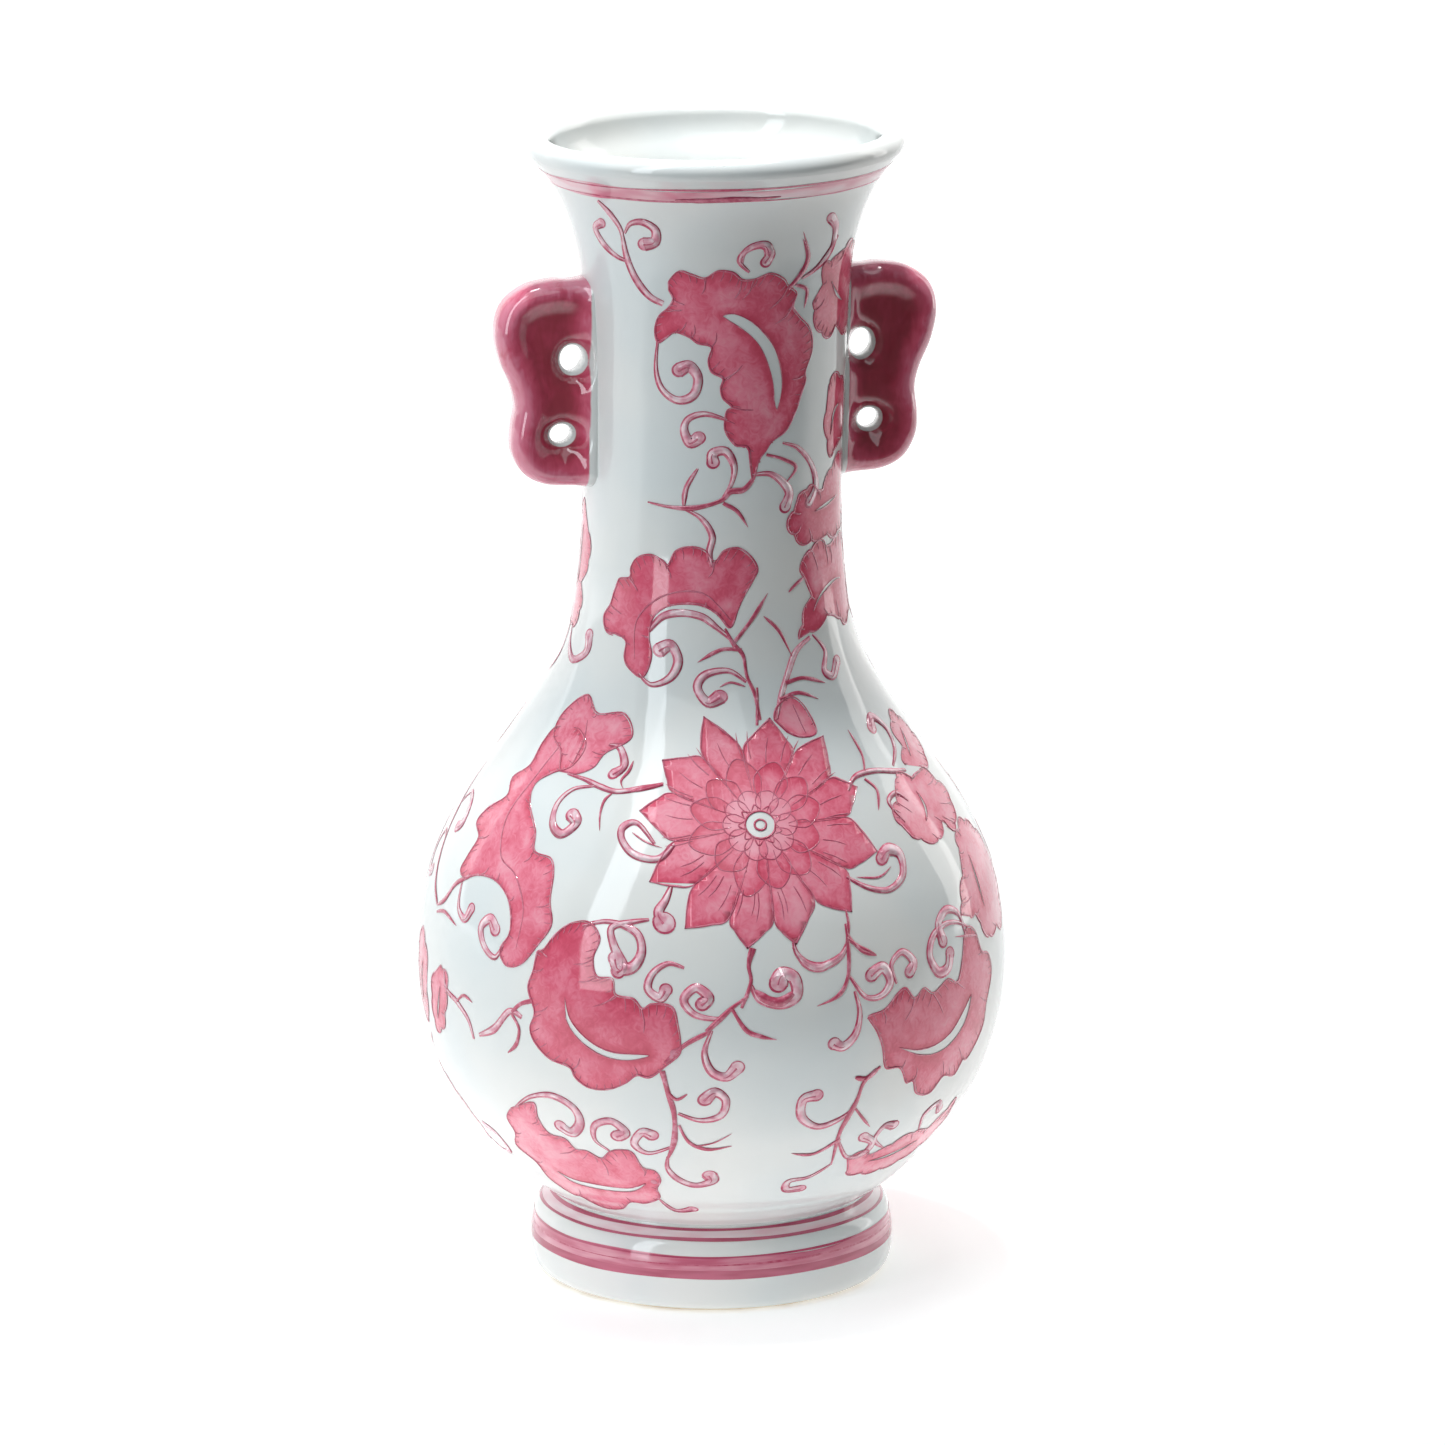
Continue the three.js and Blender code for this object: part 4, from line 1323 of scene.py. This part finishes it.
# %% [markdown]
# ## Rings on the foot and under the lip
#
# Rings are painted while the vase turns on a wheel, with the brush held still, so each is
# a film spun from a short flat section. Its edges wander a little and its width changes
# slowly, as the brush empties.

# %% Spin a painted ring
def ring_film(name, low, high, material, lift=WASH, uneven=0.12, wander=0.15):
    """A painted ring between two heights, low and high, given in mm on the outside."""
    start, end = line_at_height(low), line_at_height(high)
    places = np.linspace(start, end, max(2, int((end - start) / 0.8) + 1))
    bm = bmesh.new()
    along_key = bm.verts.layers.float.new("along")
    lift_key = bm.verts.layers.float.new("lift")
    corners = []
    for a, height in [(a, lift) for a in places] + [(a, lift - FILM) for a in places[::-1]]:
        corner = bm.verts.new((height, -50 - height, a))     # only a start, moved below
        corner[along_key], corner[lift_key] = a, height
        corners.append(corner)
    spin_round(bm, corners)
    piece = mesh_from(bm, name)
    mesh = piece.data
    angle = angle_of(coordinates(mesh))
    seed = random.uniform(0, 6)
    middle = (start + end) / 2
    width = 1 + uneven * (np.sin(3 * angle + seed) + 0.5 * np.sin(8 * angle + 2 * seed))
    drift = wander * (np.sin(2 * angle + seed) + 0.4 * np.sin(7 * angle - seed))
    along = middle + (kept(mesh, "along") - middle) * width + drift
    moved, normals = on_wall(angle, along, kept(mesh, "lift"))
    set_coordinates(mesh, moved)
    bm = bmesh_of(mesh)
    face_out(bm)
    face_as_wall(back_to(mesh, bm), normals)
    finish_piece(piece, [material])


# %% The ring colours, pulled out sideways because the vase turned under the brush
ring_line = painted("ring_line_under_glaze", (2.0, 1.0, 0.5), 0.3, 0.7,
                    (0, "B34663"), (1, "C9637F"), squeeze=(0.15, 0.15, 1.0))
ring_pink = painted("ring_pink_under_glaze", (3.0, 2.0, 0.5), 0.3, 0.7, (0, "E6A3B2"),
                    (0.5, "D98298"), (1, "CB6881"), squeeze=(0.2, 0.2, 1.4))
ring_pale = painted("ring_pale_pink_under_glaze", (3.0, 2.0, 0.5), 0.3, 0.7,
                    (0, "F1E2E5"), (1, "EDC5CE"), squeeze=(0.2, 0.2, 1.4))
mouth_pink = painted("thin_pink_band_under_glaze", (7.0, 2.0, 0.5), 0.34, 0.66,
                     (0, "F3D3DA"), (0.5, "EDB0BD"), (1, "DF879C"), squeeze=(0.35, 0.35, 1.6))

# %% Paint the rings, from the foot up
for name, low, high, material, *rest in (
        ("foot_wash", 10.8, 15.2, ring_pink),
        ("foot_low", 9.3, 11.4, ring_line, SHADOW, 0.06),
        ("foot_mid", 12.9, 13.3, soft_pink, SHADOW, 0.4),
        ("foot_top", 14.9, 15.4, ring_line, SHADOW, 0.2),
        ("shoulder_wash", 18.9, 21.2, ring_pale),
        ("shoulder_low", 18.7, 19.3, ring_line, SHADOW, 0.2),
        ("shoulder_top", 20.9, 21.6, ring_line, SHADOW, 0.2, 0.06),
        ("mouth_wash", 289.0, 292.3, mouth_pink, WASH, 0.25, 0.3),
        ("mouth_top", 292.0, 292.5, soft_pink, SHADOW, 0.35, 0.2),
        ("mouth_low", 288.8, 289.2, soft_pink, SHADOW, 0.4, 0.2)):
    ring_film("ring_" + name, low, high, material, *rest)

# %% [markdown]
# ## Light, floor and camera
#
# Glossy china is drawn by what it mirrors. A wide soft light and a tall strip on the left
# give the long bright bands, a narrow one draws the right edge, and two above light the
# shoulder and the mouth. The floor and the backdrop are one sheet. Its front part is
# painted dark grey and does not glow: painted shade that keeps the middle of the belly a
# quiet grey. Near and behind the vase it glows, a painted light that lights it from below.

# %% Floor and backdrop, with a painted glow and a painted dark front
VIEW_TURN = math.radians(-13)              # the camera stands a little to the left
UNDER_FOOT = 0.0002                        # the floor lies this much under the foot


def stage_sheet():
    """A floor that turns up into a backdrop, swept from one bent line."""
    bm = bmesh.new()
    bend = np.radians(np.linspace(0, 90, 24))
    line_up = [(-6.0, 0)] + [(2.2 + 1.5 * math.sin(a), 1.5 - 1.5 * math.cos(a)) for a in bend]
    line_up += [(3.7, 5.0)]
    strip = [bm.verts.new((-6, y, z - UNDER_FOOT)) for y, z in line_up]
    edges = [bm.edges.new(pair) for pair in zip(strip, strip[1:])]
    grown = bmesh.ops.extrude_edge_only(bm, edges=edges)["geom"]
    bmesh.ops.translate(bm, verts=[v for v in grown if isinstance(v, bmesh.types.BMVert)],
                        vec=(12, 0, 0))
    for face in bm.faces:
        face.smooth = True
        if face.normal.z < 0:
            face.normal_flip()
    bmesh.ops.rotate(bm, verts=bm.verts, matrix=Matrix.Rotation(VIEW_TURN, 3, "Z"))
    return mesh_from(bm, "studio_sheet")


glow_sheet, tree, output, in_mm = new_material("white_sheet_with_painted_glow_and_dark_front")
depth = add_node(tree, "ShaderNodeSeparateXYZ", {0: in_mm}).outputs[1]
glow = maths(tree, "ADD", spread(tree, depth, -300, -140, 0.0, 0.38),     # painted light: the sheet glows near the vase and lights it from below, and glows more further back, but not towards the front
             spread(tree, depth, 500, 1500, 0.0, 0.5))        # and dim towards the front
# painted shade: the floor in front of the vase is dark grey, standing in for the dim room in
# front
dark_front_shade = blend(tree, spread(tree, depth, -420, -150), linear("565656"), linear("F6F6F5"))
shader = add_node(tree, "ShaderNodeBsdfPrincipled", {
    "Base Color": dark_front_shade, "Roughness": 0.9, "Specular IOR Level": 0.1,
    "Emission Color": linear("FFFFFF"), "Emission Strength": glow})
tree.links.new(shader.outputs[0], output.inputs[0])
sheet = stage_sheet()
sheet.data.materials.append(glow_sheet)
sheet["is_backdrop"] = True
print("the sheet is", [round(x, 1) for x in sheet.dimensions], "m")


# %% Lamps
def stand_round(name, data, azimuth, distance, height, aim):
    """Put a lamp or camera round the vase, an azimuth from the front, aimed at a height."""
    made = put(name, data)
    made.location = (distance * math.sin(azimuth), -distance * math.cos(azimuth), height)
    aimed = Vector((0, 0, aim)) - made.location
    made.rotation_euler = aimed.to_track_quat("-Z", "Y").to_euler()
    print(f"{name}: {distance} m from the axis, {height} m up")
    return made


for name, azimuth, distance, height, width, tall, power, tint, aim in (
        ("soft_left", -108, 1.6, 0.9, 1.9, 2.2, 7.6, "EDF6FA", 0.6),
        ("strip_left", -57.5, 1.6, 1.4, 0.42, 2.9, 15.5, "F2FAFF", 1.2),
        ("soft_right", 104, 1.7, 0.7, 0.45, 1.8, 4.5, "FFFDFA", 0.5),
        ("soft_top", -22, 0.75, 1.7, 1.5, 1.3, 7.6, "EFF7FA", 0.2),
        ("strip_top", 0, 0.02, 1.5, 0.8, 0.24, 5.5, "FFFFFF", 0.2)):
    lamp = bpy.data.lights.new(name, "AREA")
    lamp.shape, lamp.size, lamp.size_y = "RECTANGLE", width, tall
    lamp.energy, lamp.color = power, linear(tint)[:3]
    stand = stand_round(name, lamp, math.radians(azimuth), distance, height, aim)
    stand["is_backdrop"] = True

# a narrow beam from straight above fills the mouth, which the side lights can't reach
beam = bpy.data.lights.new("beam_top", "SPOT")
beam.energy, beam.spot_size, beam.spot_blend = 23, math.radians(12), 0.5
beam.shadow_soft_size = 0.05
stand = stand_round("beam_top", beam, 0, 0.05, 1.2, 0.29)
stand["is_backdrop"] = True

world = bpy.data.worlds.new("dim_studio")
bpy.context.scene.world = world
world.use_nodes = True
background = world.node_tree.nodes["Background"]
background.inputs[0].default_value = linear("C4C2C0")
background.inputs[1].default_value = 0.1

# %% Camera
lens = bpy.data.cameras.new("camera")
lens.lens, lens.sensor_width, lens.shift_x = 208.0, 36, 0.0076
lens.clip_start, lens.clip_end = 0.05, 50
scene = bpy.context.scene
scene.camera = stand_round("camera", lens, VIEW_TURN, 2.1, 0.645, 0.1452)
scene.view_settings.view_transform = "Standard"
scene.view_settings.look = "None"

# %% Print the outer bounds of the visible vase
low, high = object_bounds()
print("visual", [round(x / MM, 1) for x in (*low, *high)], "mm")
